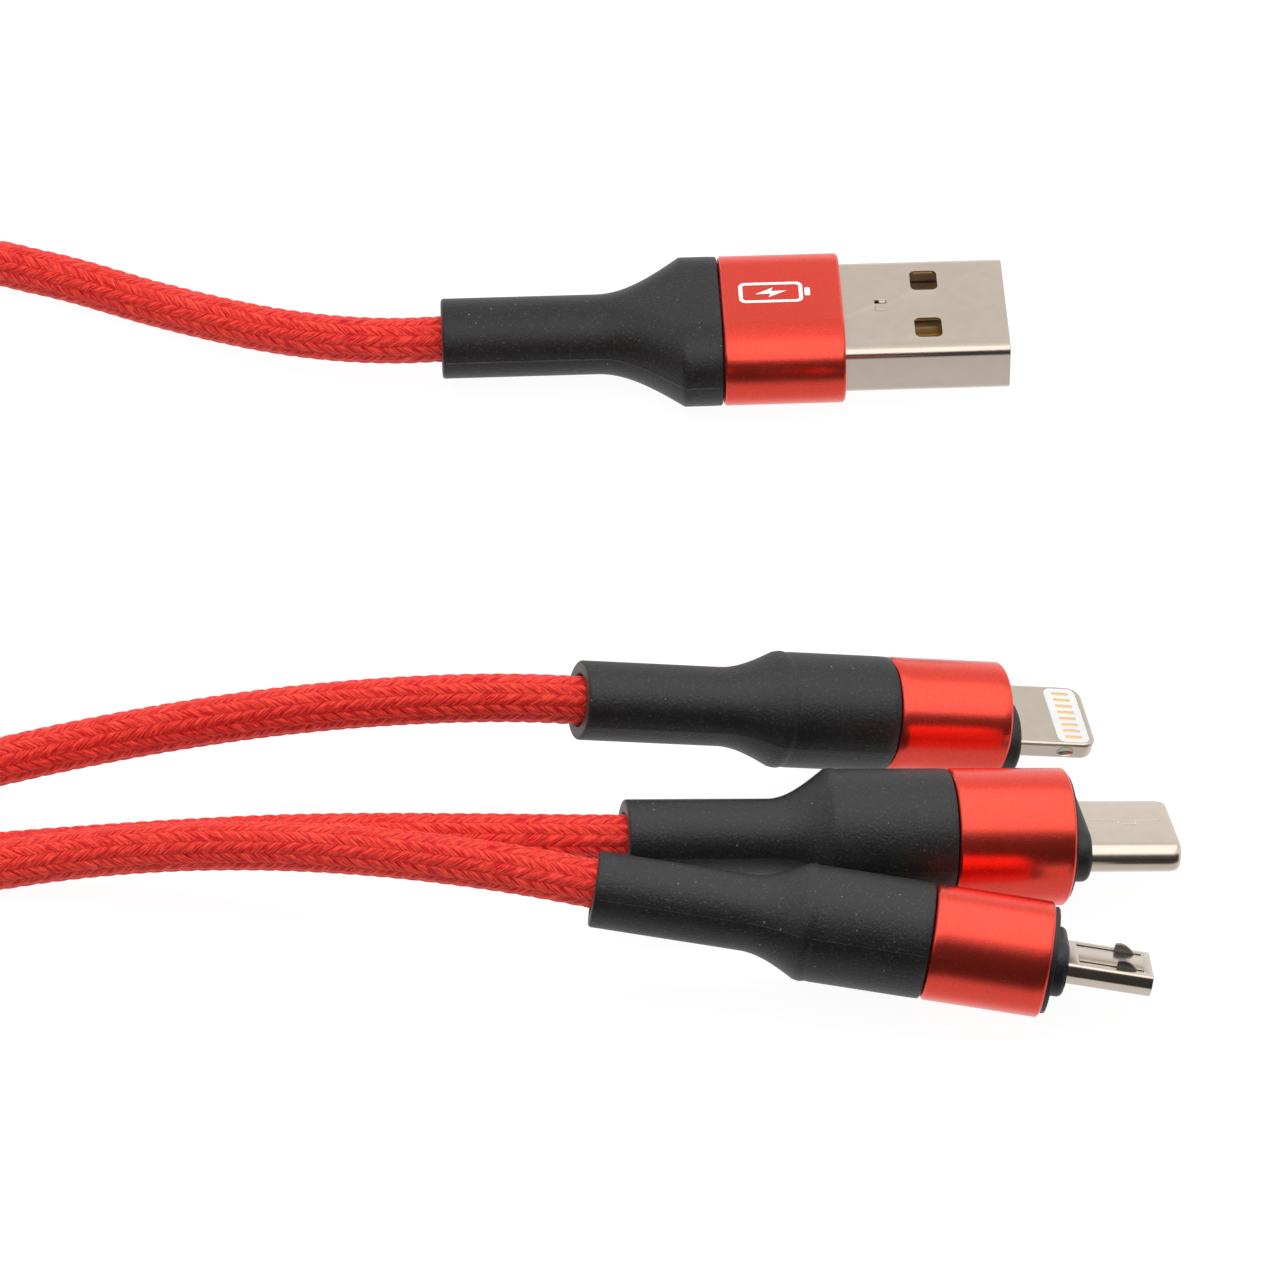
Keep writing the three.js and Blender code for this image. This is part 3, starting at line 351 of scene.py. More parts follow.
# ------------------------------------------------------------ mesh helpers
def finish_mesh(name, verts, faces, place, material, body=ROOT, slot=None, stands_for=(), sharp=38.0, merge=1e-4):
    """verts in the piece's own millimetres become an object in the row frame that rides on a body."""
    mesh = bpy.data.meshes.new(name)
    mesh.from_pydata([tuple(map(float, v)) for v in verts], [], faces)
    bm = bmesh.new()
    bm.from_mesh(mesh)
    bmesh.ops.remove_doubles(bm, verts=bm.verts, dist=merge)
    bmesh.ops.dissolve_degenerate(bm, edges=bm.edges, dist=merge)
    bmesh.ops.recalc_face_normals(bm, faces=bm.faces)
    bm.to_mesh(mesh)
    bm.free()
    mesh.transform(place)
    mesh.shade_smooth()
    mesh.set_sharp_from_angle(angle=math.radians(sharp))
    mesh.materials.append(MAT[material])
    obj = bpy.data.objects.new(name, mesh)
    bpy.context.scene.collection.objects.link(obj)
    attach(obj, body)
    if stands_for:
        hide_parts(*stands_for)
    return obj


def rr(w, h, r, n=10):
    """A rounded rectangle's outline in Y and Z, from the lower right corner round."""
    r = min(r, w / 2 - 0.005, h / 2 - 0.005)
    pts = []
    for cy, cz, a0 in ((w / 2 - r, -(h / 2 - r), -90), (w / 2 - r, h / 2 - r, 0), (-(w / 2 - r), h / 2 - r, 90), (-(w / 2 - r), -(h / 2 - r), 180)):
        for i in range(n + 1):
            a = math.radians(a0 + 90 * i / n)
            pts.append((cy + r * math.cos(a), cz + r * math.sin(a)))
    return pts


def sub(loop, most):
    """The loop with no side longer than most: a long flat side gets points of its own."""
    out = []
    for i, p in enumerate(loop):
        q = loop[(i + 1) % len(loop)]
        out.append(p)
        k = int(math.dist(p, q) // most)
        for j in range(1, k + 1):
            t = j / (k + 1)
            out.append((p[0] + (q[0] - p[0]) * t, p[1] + (q[1] - p[1]) * t))
    return out


def skin(sections, cap_start=True, cap_end=True, ring=False):
    """Quads between sections, each (x, outline in Y and Z), all with as many points."""
    n = len(sections[0][1])
    verts, faces = [], []
    for x, loop in sections:
        verts += [(x, y, z) for y, z in loop]
    m = len(sections)
    for k in range(m if ring else m - 1):
        a0, b0 = k * n, ((k + 1) % m) * n
        for i in range(n):
            j = (i + 1) % n
            faces.append((a0 + i, a0 + j, b0 + j, b0 + i))
    if not ring:
        if cap_start:
            faces.append(tuple(range(n))[::-1])
        if cap_end:
            faces.append(tuple((m - 1) * n + i for i in range(n)))
    return verts, faces


def lathe(profile, facets=96, closed=False, shape=None):
    """Turns [x, r] about X. shape(angle, x, r) gives the radius at an angle."""
    ang = [2 * math.pi * (i + 0.5) / facets for i in range(facets)]
    sections = []
    for x, r in profile:
        sections.append((x, [((shape(a, x, r) if shape else r) * math.cos(a), (shape(a, x, r) if shape else r) * math.sin(a)) for a in ang]))
    return skin(sections, profile[0][1] > 1e-6, profile[-1][1] > 1e-6, closed)


def merged(*parts):
    verts, faces = [], []
    for v, f in parts:
        k = len(verts)
        verts += list(v)
        faces += [tuple(i + k for i in q) for q in f]
    return verts, faces


def slab(outline, z0, z1, edge=0.0, steps=4, base_edge=None):
    """A plate whose plan is outline(inset) and whose upper and lower edges are rounded."""
    base_edge = edge if base_edge is None else base_edge
    levels = [(z0 + base_edge * (1 - math.cos(math.pi / 2 * i / steps)), base_edge * (1 - math.sin(math.pi / 2 * i / steps))) for i in range(steps + 1)] if base_edge else [(z0, 0.0)]
    levels += [(z1 - edge * (1 - math.sin(math.pi / 2 * i / steps)), edge * (1 - math.cos(math.pi / 2 * i / steps))) for i in range(steps + 1)] if edge else [(z1, 0.0)]
    verts, faces, n = [], [], len(outline(0.0))
    for z, inset in levels:
        verts += [(x, y, z) for x, y in outline(inset)]
    for k in range(len(levels) - 1):
        for i in range(n):
            j = (i + 1) % n
            faces.append((k * n + i, k * n + j, (k + 1) * n + j, (k + 1) * n + i))
    faces.append(tuple(range(n))[::-1])
    faces.append(tuple((len(levels) - 1) * n + i for i in range(n)))
    return verts, faces


def plan(x0, x1, y0, y1, r, n=6):
    """outline(inset) of a rounded rectangle in X and Y."""

    def outline(inset):
        w, h = x1 - x0 - 2 * inset, y1 - y0 - 2 * inset
        cx, cy = (x0 + x1) / 2, (y0 + y1) / 2
        return [(cx + a, cy + b) for a, b in rr(w, h, max(r - inset, 0.01), n)]

    return outline


def solid_object(verts, faces):
    """A plain object in millimetres, for cutting."""
    mesh = bpy.data.meshes.new("scratch")
    mesh.from_pydata([tuple(map(float, v)) for v in verts], [], faces)
    bm = bmesh.new()
    bm.from_mesh(mesh)
    bmesh.ops.remove_doubles(bm, verts=bm.verts, dist=1e-5)
    bmesh.ops.recalc_face_normals(bm, faces=bm.faces)
    bm.to_mesh(mesh)
    bm.free()
    obj = bpy.data.objects.new("scratch", mesh)
    bpy.context.scene.collection.objects.link(obj)
    return obj


def carve(body, cutters, bevel=0.0, operation="DIFFERENCE"):
    """body less its cutters, as (verts, faces), with the cut edges bevelled."""
    obj = solid_object(*body)
    tools = [solid_object(*c) for c in cutters]
    for t in tools:
        mod = obj.modifiers.new("cut", "BOOLEAN")
        mod.operation, mod.object, mod.solver = operation, t, "EXACT"
    if bevel:
        mod = obj.modifiers.new("bevel", "BEVEL")
        mod.width, mod.segments, mod.limit_method, mod.angle_limit = bevel, 3, "ANGLE", math.radians(50)
        mod.use_clamp_overlap = True
        mod.harden_normals = False
    bpy.context.view_layer.update()
    done = obj.evaluated_get(bpy.context.evaluated_depsgraph_get()).to_mesh()
    verts = [tuple(v.co) for v in done.vertices]
    faces = [tuple(p.vertices) for p in done.polygons]
    for o in [obj, *tools]:
        bpy.data.objects.remove(o)
    return verts, faces


def box(x0, x1, y0, y1, z0, z1):
    v = [(x, y, z) for x in (x0, x1) for y in (y0, y1) for z in (z0, z1)]
    return v, [(0, 1, 3, 2), (4, 6, 7, 5), (0, 4, 5, 1), (2, 3, 7, 6), (0, 2, 6, 4), (1, 5, 7, 3)]


# ------------------------------------------------------------ cords
COLUMNS, PITCH = 12, 1.25  # strands cross in 12 columns round the cord, every 1.25 mm along it


def smooth_line(points, step=0.25):
    """The centripetal Catmull-Rom curve through the points, evenly sampled."""
    p = np.array(points, float)
    p = np.vstack([2 * p[0] - p[1], p, 2 * p[-1] - p[-2]])
    out = []
    for i in range(1, len(p) - 2):
        a, b, c, d = p[i - 1], p[i], p[i + 1], p[i + 2]
        t0, t1, t2 = (max(np.linalg.norm(q), 1e-4) ** 0.5 for q in (b - a, c - b, d - c))
        m1 = ((b - a) / t0 - (c - a) / (t0 + t1) + (c - b) / t1) * t1
        m2 = ((c - b) / t1 - (d - b) / (t1 + t2) + (d - c) / t2) * t1
        n = max(4, int(np.linalg.norm(c - b) / 0.2))
        t = (np.arange(n) / n)[:, None]
        out.append(b + m1 * t + (-3 * b + 3 * c - 2 * m1 - m2) * t**2 + (2 * b - 2 * c + m1 + m2) * t**3)
    line = np.vstack(out + [p[-2][None]])
    at = np.concatenate([[0], np.cumsum(np.linalg.norm(np.diff(line, axis=0), axis=1))])
    s = np.arange(0, at[-1], step)
    return np.stack([np.interp(s, at, line[:, k]) for k in range(3)], 1), at[-1]


def at_stations(line, step, stations):
    s = np.arange(len(line)) * step
    return np.stack([np.interp(stations, s, line[:, k]) for k in range(3)], 1)


def frames(points):
    """Two unit vectors across the line at each point, carried along it without twist."""
    tan = np.gradient(points, axis=0)
    tan /= np.linalg.norm(tan, axis=1)[:, None]
    n = np.cross(tan[0], (0, 0, 1.0))
    n /= np.linalg.norm(n)
    ns = [n]
    for i in range(1, len(points)):
        n = n - tan[i] * np.dot(n, tan[i])
        n /= np.linalg.norm(n)
        ns.append(n)
    ns = np.array(ns)
    return ns, np.cross(tan, ns)


def braid_relief(c, s):
    """0 between strands to 1 on top of one: two-over-two strands, so that each column shows strands of one slant."""
    c1 = c + 0.25
    u = c1 - np.floor(c1)
    t = np.where(np.floor(c1) % 2 < 0.5, c - s, c + s)
    d = np.abs((t + 0.5) % 1.0 - 0.5) * 2
    across = np.sqrt(np.clip(1 - 0.92 * d**2, 0, 1))
    return across * np.clip(np.sin(np.pi * np.clip(u, 0.02, 0.98)), 0, 1) ** 0.55


def cord_mesh(name, route, material, coarse_after=None, relief=0.20):
    """A braided tube. Returns the object, its centreline in metres and its length in millimetres."""
    step = 0.25
    line, length = smooth_line(route, step)
    fine_to = length if coarse_after is None else min(coarse_after, length)
    parts = [(np.arange(0, fine_to, PITCH / 7), COLUMNS * 6)]
    if coarse_after is not None and length > fine_to:
        first = math.ceil(fine_to / (PITCH / 2)) * PITCH / 2
        parts.append((np.arange(first, length, PITCH / 2), COLUMNS * 3))
    stations = np.concatenate([p[0] for p in parts])
    points = at_stations(line, step, stations)
    ns, bs = frames(points)
    r0 = CORD_D / 2
    verts, faces, uvs = [], [], []
    k = first_of_part = 0
    previous = None
    for s_list, n in parts:
        c = np.arange(n) * COLUMNS / n
        ang = 2 * np.pi * c / COLUMNS
        start = len(verts)
        block = []
        for s in s_list:
            h = braid_relief(c, s / PITCH)
            r = r0 + relief * (h - 0.62)
            block.append(points[k] + r[:, None] * (np.cos(ang)[:, None] * ns[k] + np.sin(ang)[:, None] * bs[k]))
            k += 1
        block = np.concatenate(block)
        verts.extend(map(tuple, block))
        if previous is not None:  # every second point of the fine ring meets one of the coarse ring
            p_start, p_n, p_s = previous
            for i in range(n):
                j, a, b, d = (i + 1) % n, 2 * i, 2 * i + 1, (2 * i + 2) % p_n
                ca, cb, cd = a * COLUMNS / p_n, b * COLUMNS / p_n, (2 * i + 2) * COLUMNS / p_n
                s0, s1 = p_s / PITCH, s_list[0] / PITCH
                faces.append((p_start + a, p_start + b, start + i))
                uvs += [(ca, s0), (cb, s0), (ca, s1)]
                faces.append((p_start + b, p_start + d, start + j))
                uvs += [(cb, s0), (cd, s0), (cd, s1)]
                faces.append((p_start + b, start + j, start + i))
                uvs += [(cb, s0), (cd, s1), (ca, s1)]
        for q in range(len(s_list) - 1):
            a0, b0, s0, s1 = start + q * n, start + (q + 1) * n, s_list[q] / PITCH, s_list[q + 1] / PITCH
            for i in range(n):
                j = (i + 1) % n
                faces.append((a0 + i, a0 + j, b0 + j, b0 + i))
                ca, cb = i * COLUMNS / n, (i + 1) * COLUMNS / n
                uvs += [(ca, s0), (cb, s0), (cb, s1), (ca, s1)]
        previous = (start + (len(s_list) - 1) * n, n, s_list[-1])
    first_n = parts[0][1]
    faces.append(tuple(range(first_n))[::-1])
    uvs += [(i * COLUMNS / first_n, 0) for i in range(first_n)][::-1]
    last, last_n = previous[0], previous[1]
    faces.append(tuple(last + i for i in range(last_n)))
    uvs += [(i * COLUMNS / last_n, previous[2] / PITCH) for i in range(last_n)]
    mesh = bpy.data.meshes.new(name)
    mesh.from_pydata(verts, [], faces)
    layer = mesh.uv_layers.new(name="braid")
    layer.data.foreach_set("uv", np.array(uvs, np.float32).ravel())
    mesh.transform(WORLD_FRAME)
    mesh.shade_smooth()
    mesh.materials.append(MAT[material])
    obj = bpy.data.objects.new(name, mesh)
    bpy.context.scene.collection.objects.link(obj)
    if mesh.polygons[0].normal.dot(mesh.polygons[0].center - Vector((points[0] - ORIGIN) * MM)) < 0:
        mesh.flip_normals()
    path = [tuple((q - ORIGIN) * MM) for q in points[::4]] + [tuple((points[-1] - ORIGIN) * MM)]
    return obj, path, length


def coil_points():
    rings = [(COIL_R + 1.5 * CORD_D, 2.6), (COIL_R + 0.5 * CORD_D, 2.6), (COIL_R - 0.5 * CORD_D, 2.6), (COIL_R - 1.5 * CORD_D, 2.6),
             (COIL_R - 1.5 * CORD_D, 6.2), (COIL_R - 0.5 * CORD_D, 6.2), (COIL_R + 0.5 * CORD_D, 6.2), (COIL_R + 1.5 * CORD_D, 6.2)]
    pts = []
    for q in range(117):
        th = 90 + 22.5 * q
        k = round(th / 360)
        lo, hi = 360 * k - 30, 360 * k + 30
        if lo < th < hi and 1 <= k <= 7:
            t = (th - lo) / 60
            t = t * t * (3 - 2 * t)
            (r0, z0), (r1, z1) = rings[k - 1], rings[k]
            r, z = r0 + (r1 - r0) * t, z0 + (z1 - z0) * t
        else:
            r, z = rings[min(int((th + 30) // 360) if th >= 330 else 0, 7)]
        pts.append((COIL_X + r * math.cos(math.radians(th)), COIL_Y + r * math.sin(math.radians(th)), z))
    return pts


def into(route, axis, depth=1.9):
    """The route with its start carried on into the boot that it comes out of."""
    a = np.array(turn(*axis) @ Vector((1, 0, 0)), float)[:3]
    p = np.array(route[0], float)
    return [tuple(p + a * depth)] + [tuple(q) for q in route]


cords = {}
for name, route, axis, node in (
    ("eight_pin_braid", EIGHT_ROUTE, EIGHT_AXIS, "eight_pin_cord"),
    ("type_c_braid", TYPE_C_ROUTE, TYPE_C_AXIS, "type_c_cord"),
    ("micro_braid", MICRO_ROUTE, MICRO_AXIS, "micro_cord"),
):
    end = route[-1]
    obj, path, length = cord_mesh(name, into(route, axis) + [(end[0] - 1.6, end[1], end[2])], "nylon_braid")
    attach(obj, ROOT)
    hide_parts(node)
    cords[name] = obj
tail_end = TAIL_ROUTE[-1]
whole = into(MAIN_ROUTE, (0, 0, 0)) + [(COIL_X + 7, COIL_Y + COIL_R + 1.5 * CORD_D, 2.6)] + coil_points() + [tuple(p) for p in TAIL_ROUTE[1:]] + [(tail_end[0] + 2.2, tail_end[1], tail_end[2])]
main, main_path, main_length = cord_mesh("main_braid", whole, "nylon_braid", coarse_after=92)
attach(main, ROOT)
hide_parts("main_cord", "main_cord_coil", "main_cord_tail")
print("cord lengths, mm: main", round(main_length, 1))

# ------------------------------------------------------------ the tie round the coil
def tie():
    cy, z0, z1 = COIL_Y - COIL_R + 0.35, 0.0, 8.8
    w, h, t = 4 * CORD_D + 2.6, 8.8, 0.5
    outer = sub(rr(w, h, 1.9, 8), 1.0)
    inner = [(y * (w - 2 * t) / w, z * (h - 2 * t) / h) for y, z in outer]
    half = 4.5
    sections = [(-half, inner), (-half, outer), (half, outer), (half, inner)]
    sections = [(x, [(y, z) for y, z in loop]) for x, loop in sections]
    v, f = skin(sections, ring=True)
    tab = slab(plan(-half + 0.1, half - 0.1, -6.3, 3.4, 1.6), h / 2 - 0.02, h / 2 + 0.52, 0.12, 3)
    v2, f2 = merged((v, f), tab)
    return [(x + COIL_X, y + cy, z + 4.4) for x, y, z in v2], f2


strap = finish_mesh("tie_strap", *tie(), WORLD_FRAME, "strap", slot="strap", stands_for=["coil_tie"])

# ------------------------------------------------------------ boots
def flare(t):
    """Concave from the neck, then a crisp shoulder."""
    return 0.0 if t <= 0 else 1.0 if t >= 1 else (t**1.95 * (1 - t) + t**1.55 * t)


def round_boot(name, place, R, sleeve, total, neck_r, flare_l, body_l, nodes):
    rear, front = -sleeve - total, -sleeve - 0.10
    flare1 = -sleeve - body_l
    flare0 = flare1 - flare_l

    def shape(a, x, r):
        if r < neck_r * 0.9:
            return r
        off = abs(math.sin(a))  # 0 at the parting line, on the plug's two sides
        ridge = 0.045 * math.exp(-((off / 0.030) ** 2)) + 0.035 * math.exp(-((off / 0.25) ** 2))
        return r + ridge

    prof = [(rear + 2.6, 1.96), (rear + 0.15, 1.96), (rear, 2.08)]
    for i in range(6):
        a = math.pi / 2 * i / 5
        prof.append((rear + 0.22 * (1 - math.cos(a)), neck_r - 0.22 * (1 - math.sin(a))))
    prof += [(rear + q, neck_r) for q in (1.0, 3.0, 6.0, 9.0) if rear + q < flare0 - 0.3]
    steps = 22
    for i in range(steps + 1):
        t = i / steps
        prof.append((flare0 + (flare1 - flare0) * t, neck_r + (R - 0.02 - neck_r) * flare(t)))
    prof += [(flare1 + 0.15, R + 0.01), (flare1 + 0.35, R + 0.05), (flare1 + 0.55, R + 0.055), (flare1 + 0.72, R + 0.02), (flare1 + 0.86, R - 0.025), (flare1 + 1.05, R - 0.02), (flare1 + 1.3, R + 0.0)]
    prof += [(flare1 + (front - flare1) * q, R + 0.0) for q in (0.3, 0.5, 0.7, 0.9)]
    prof += [(front - 0.12, R - 0.02), (front - 0.03, R - 0.09), (front, R - 0.2)]
    v, f = lathe(prof + [(front, 1.0)], 128, False, shape)
    obj = finish_mesh(name, v, f, place, "boot_rubber", slot="boot_rubber", stands_for=nodes, sharp=50)
    return obj


def neck_ring(name, place, rear, r0, r1):
    """The trimmed end face of a boot's neck, a touch paler than its skin."""
    v, f = lathe([(rear - 0.004, r0), (rear - 0.018, r0 + 0.06), (rear - 0.018, r1 - 0.10), (rear - 0.002, r1 - 0.02), (rear + 0.05, r1 - 0.02), (rear + 0.05, r0)], 96, True)
    return finish_mesh(name, v, f, place, "neck_face", slot="boot_rubber")


round_boot("eight_pin_boot_skin", E_FRAME, 4.45, 9.0, 24.8, 3.05, 4.3, 9.3, ["eight_pin_boot"])
round_boot("type_c_boot_skin", C_FRAME, 5.25, 9.0, 25.0, 3.0, 4.4, 9.6, ["type_c_boot"])
round_boot("micro_boot_skin", M_FRAME, 4.42, 9.0, 25.5, 2.9, 4.3, 9.7, ["micro_boot"])
neck_ring("eight_pin_neck_face", E_FRAME, -33.8, 2.1, 2.85)
neck_ring("type_c_neck_face", C_FRAME, -34.0, 2.1, 2.80)
neck_ring("micro_neck_face", M_FRAME, -34.5, 2.1, 2.70)


def flat_boot(name, place, sleeve, total, neck_d, flare0, flare1, w, h, node, ring_name):
    rear, front = -sleeve - total, -sleeve - 0.10

    def loop(d_w, d_h, r=None):
        n = 14
        pts = sub(rr(d_w, d_h, min(d_w, d_h) / 2 - 0.01 if r is None else r, n), 99)
        return pts

    def at(s):
        # the wide end is a stadium, the neck a circle, both with as many points
        return loop(neck_d + (w - neck_d) * s, neck_d + (h - neck_d) * s)

    hole = [(y, z) for y, z in rr(3.92, 3.92, 1.95, 14)]
    lip = [(y, z) for y, z in rr(4.2, 4.2, 2.09, 14)]
    sections = [(rear + 2.6, hole), (rear + 0.15, hole), (rear, lip)]
    for i in range(6):
        a = math.pi / 2 * i / 5
        d = neck_d - 0.44 * (1 - math.sin(a))
        sections.append((rear + 0.22 * (1 - math.cos(a)), loop(d, d)))
    for q in (1.0, 3.5, 6.0, 9.0, 11.5):
        if rear + q < flare0 - 0.3:
            sections.append((rear + q, at(0)))
    for i in range(25):
        t = i / 24
        sections.append((flare0 + (flare1 - flare0) * t, at(flare(t) * 0.995)))
    sections += [(flare1 + 0.2, at(1.0)), (flare1 + 0.6, at(1.002)), (flare1 + 0.75, at(0.996)), (flare1 + 0.9, at(1.0))]
    sections += [(flare1 + (front - flare1) * q, at(1.0)) for q in (0.5, 0.75)]
    sections += [(front - 0.14, loop(w - 0.04, h - 0.04)), (front - 0.03, loop(w - 0.2, h - 0.2)), (front, loop(w - 0.45, h - 0.45))]
    v, f = skin(sections)
    obj = finish_mesh(name, v, f, place, "boot_rubber", slot="boot_rubber", stands_for=[node], sharp=50)
    neck_ring(ring_name, place, rear, 2.1, neck_d / 2 - 0.2)
    return obj


flat_boot("type_a_boot_skin", A_FRAME, 9.8, 22.7, 6.5, -19.9, -13.0, 14.8, 7.7, "type_a_boot", "type_a_neck_face")
flat_boot("splitter_boot_skin", S_FRAME, 22.0, 17.6, 6.5, -31.2, -25.0, 15.6, 8.0, "splitter_inlet_boot", "splitter_neck_face")


def boot_seam(name, place, points, width=0.10, height=0.05):
    """The mould's parting line down each side of a flat boot: a thin raised flash."""
    parts = []
    for side in (1, -1):
        v, f = [], []
        for x, y in points:
            for dz, dy in ((-width, -0.05), (-width * 0.3, height), (width * 0.3, height), (width, -0.05)):
                v.append((x, side * (y + dy), dz))
        for k in range(len(points) - 1):
            for i in range(3):
                f.append((4 * k + i, 4 * k + i + 1, 4 * k + i + 5, 4 * k + i + 4))
            f.append((4 * k + 3, 4 * k, 4 * k + 4, 4 * k + 7))
        f += [(0, 3, 2, 1), tuple(4 * (len(points) - 1) + i for i in (0, 1, 2, 3))]
        parts.append((v, f))
    return finish_mesh(name, *merged(*parts), place, "flash_rubber", slot="boot_rubber", sharp=60)


def round_seam(name, place, rear, neck_r, flare0, flare1, front, R):
    return boot_seam(name, place, seam_line(rear, neck_r, flare0, flare1, front, R), 0.060, 0.060)


def seam_line(rear, neck_r, flare0, flare1, front, half_w):
    pts = [(rear + 0.25, neck_r), (rear + 3, neck_r), (rear + 7, neck_r), (flare0 - 0.4, neck_r)]
    pts += [(flare0 + (flare1 - flare0) * i / 16, neck_r + (half_w - neck_r) * flare(i / 16) * 0.995) for i in range(17)]
    return pts + [(flare1 + 0.3, half_w), ((flare1 + front) / 2, half_w), (front - 0.3, half_w)]


round_seam("eight_pin_boot_seam", E_FRAME, -33.8, 3.05, -22.6, -18.3, -9.1, 4.45)
round_seam("type_c_boot_seam", C_FRAME, -34.0, 3.0, -23.0, -18.6, -9.1, 5.25)
round_seam("micro_boot_seam", M_FRAME, -34.5, 2.9, -23.0, -18.7, -9.1, 4.42)
boot_seam("type_a_boot_seam", A_FRAME, seam_line(-32.5, 3.25, -19.9, -13.0, -9.9, 7.4))
boot_seam("splitter_boot_seam", S_FRAME, seam_line(-39.6, 3.25, -31.2, -25.0, -22.1, 7.8))

# ------------------------------------------------------------ sleeves
def round_sleeve(name, place, R, L, node):
    c = 0.17
    prof = [(-L, R - 0.50), (-L, R - c - 0.03), (-L + 0.03, R - c), (-L + c, R - 0.02), (-L + c + 0.05, R)]
    prof += [(-L + (L * q), R) for q in (0.1, 0.3, 0.5, 0.7, 0.9)]
    prof += [(-c - 0.05, R), (-c, R - 0.02), (-0.03, R - c), (0, R - c - 0.03), (0, R - 0.50), (-0.05, R - 0.55), (-L + 0.05, R - 0.55)]
    v, f = lathe(prof, 144, True)
    return finish_mesh(name, v, f, place, "red_anodised", slot="red_anodised", stands_for=[node], sharp=30)


round_sleeve("eight_pin_sleeve_skin", E_FRAME, 4.45, 9.0, "eight_pin_sleeve")
round_sleeve("type_c_sleeve_skin", C_FRAME, 5.25, 9.0, "type_c_sleeve")
round_sleeve("micro_sleeve_skin", M_FRAME, 4.42, 9.0, "micro_sleeve")


def flat_sleeve(name, place, w, h, wall, L, node):
    def loop(inset):
        return sub(rr(w - 2 * inset, h - 2 * inset, (h - 2 * inset) / 2 - 0.01, 26), 99)

    c = 0.17
    xs = [(-L, wall), (-L, c + 0.03), (-L + 0.03, c), (-L + c, 0.02), (-L + c + 0.05, 0), (-L * 0.7, 0), (-L * 0.3, 0), (-c - 0.05, 0), (-c, 0.02), (-0.03, c), (0, c + 0.03), (0, wall - 0.06), (-0.06, wall), (-L + 0.05, wall)]
    v, f = skin([(x, loop(i)) for x, i in xs], ring=True)
    return finish_mesh(name, v, f, place, "red_anodised", slot="red_anodised", stands_for=[node], sharp=30)


flat_sleeve("type_a_sleeve_skin", A_FRAME, 14.8, 7.7, 0.55, 9.8, "type_a_sleeve")
flat_sleeve("splitter_sleeve_skin", S_FRAME, 15.6, 8.0, 0.6, 22.0, "splitter_sleeve")


# generic printed mark on the host plug's sleeve: a battery with a bolt in it
def mark():
    z, t = 3.85, 0.012
    parts = []

    def bar(x0, x1, y0, y1, r=0.05):
        parts.append(slab(plan(x0, x1, y0, y1, r, 4), z - 0.02, z + t))

    x0, x1, y0, y1, w = -8.35, -3.15, -1.30, 1.30, 0.32
    outer, inner = rr(x1 - x0, y1 - y0, 0.55, 6), rr(x1 - x0 - 2 * w, y1 - y0 - 2 * w, 0.25, 6)
    n, cx = len(outer), (x0 + x1) / 2
    v = [(cx + a, b, q) for q, loop in ((z - 0.02, outer), (z + t, outer), (z + t, inner), (z - 0.02, inner)) for a, b in loop]
    f = [(k * n + i, k * n + (i + 1) % n, ((k + 1) % 4) * n + (i + 1) % n, ((k + 1) % 4) * n + i) for k in range(4) for i in range(n)]
    parts.append((v, f))
    bar(-3.0, -2.55, -0.52, 0.52, 0.12)
    bolt = [(-7.05, -0.20), (-5.55, 0.62), (-5.72, 0.16), (-4.45, 0.20), (-5.95, -0.62), (-5.78, -0.16)]
    v = [(x, y, q) for q in (z - 0.02, z + t) for x, y in bolt]
    f = [(0, 1, 2), (0, 2, 5), (5, 2, 3), (5, 3, 4), (6, 8, 7), (6, 11, 8), (11, 9, 8), (11, 10, 9)]
    f += [(i, (i + 1) % 6, 6 + (i + 1) % 6, 6 + i) for i in range(6)]
    parts.append((v, f))
    return merged(*parts)


finish_mesh("sleeve_mark", *mark(), A_FRAME, "white_print", slot="white_insert", sharp=30)

# ------------------------------------------------------------ type-A shell
def shell_a():
    def loop(inset, r):
        return sub(rr(12.0 - 2 * inset, 4.5 - 2 * inset, r, 14), 99)

    wall = 0.3
    xs = [(-6.5, 0.0, 0.85), (13.32, 0.0, 0.85), (13.38, 0.03, 0.82), (13.4, 0.08, 0.77), (13.4, wall - 0.05, 0.60), (13.35, wall, 0.55), (-6.5, wall, 0.55)]
    body = skin([(x, loop(i, r)) for x, i, r in xs], ring=True)
    cut = []
    for y in (-3.05, 3.05):
        for z in (-2.25, 2.25):
            cut.append(slab(plan(5.8, 8.0, y - 1.25, y + 1.25, 0.50, 6), z - 0.6, z + 0.6))
    cut.append(slab(plan(2.72, 3.70, 0.16, 0.62, 0.10, 3), 1.7, 3.0))
    return carve(body, cut, 0.07)


finish_mesh("type_a_shell_skin", *shell_a(), A_FRAME, "nickel", slot="nickel", stands_for=["type_a_shell"], sharp=32)
lance = merged(
    slab(plan(2.74, 3.68, -0.78, 0.10, 0.14, 5), 2.2, 2.31, 0.05, 3),
    slab(plan(3.05, 3.66, 0.20, 0.58, 0.12, 4), 1.9, 2.36, 0.14, 4),
)
finish_mesh("type_a_lance", *lance, A_FRAME, "nickel", slot="nickel", sharp=40)
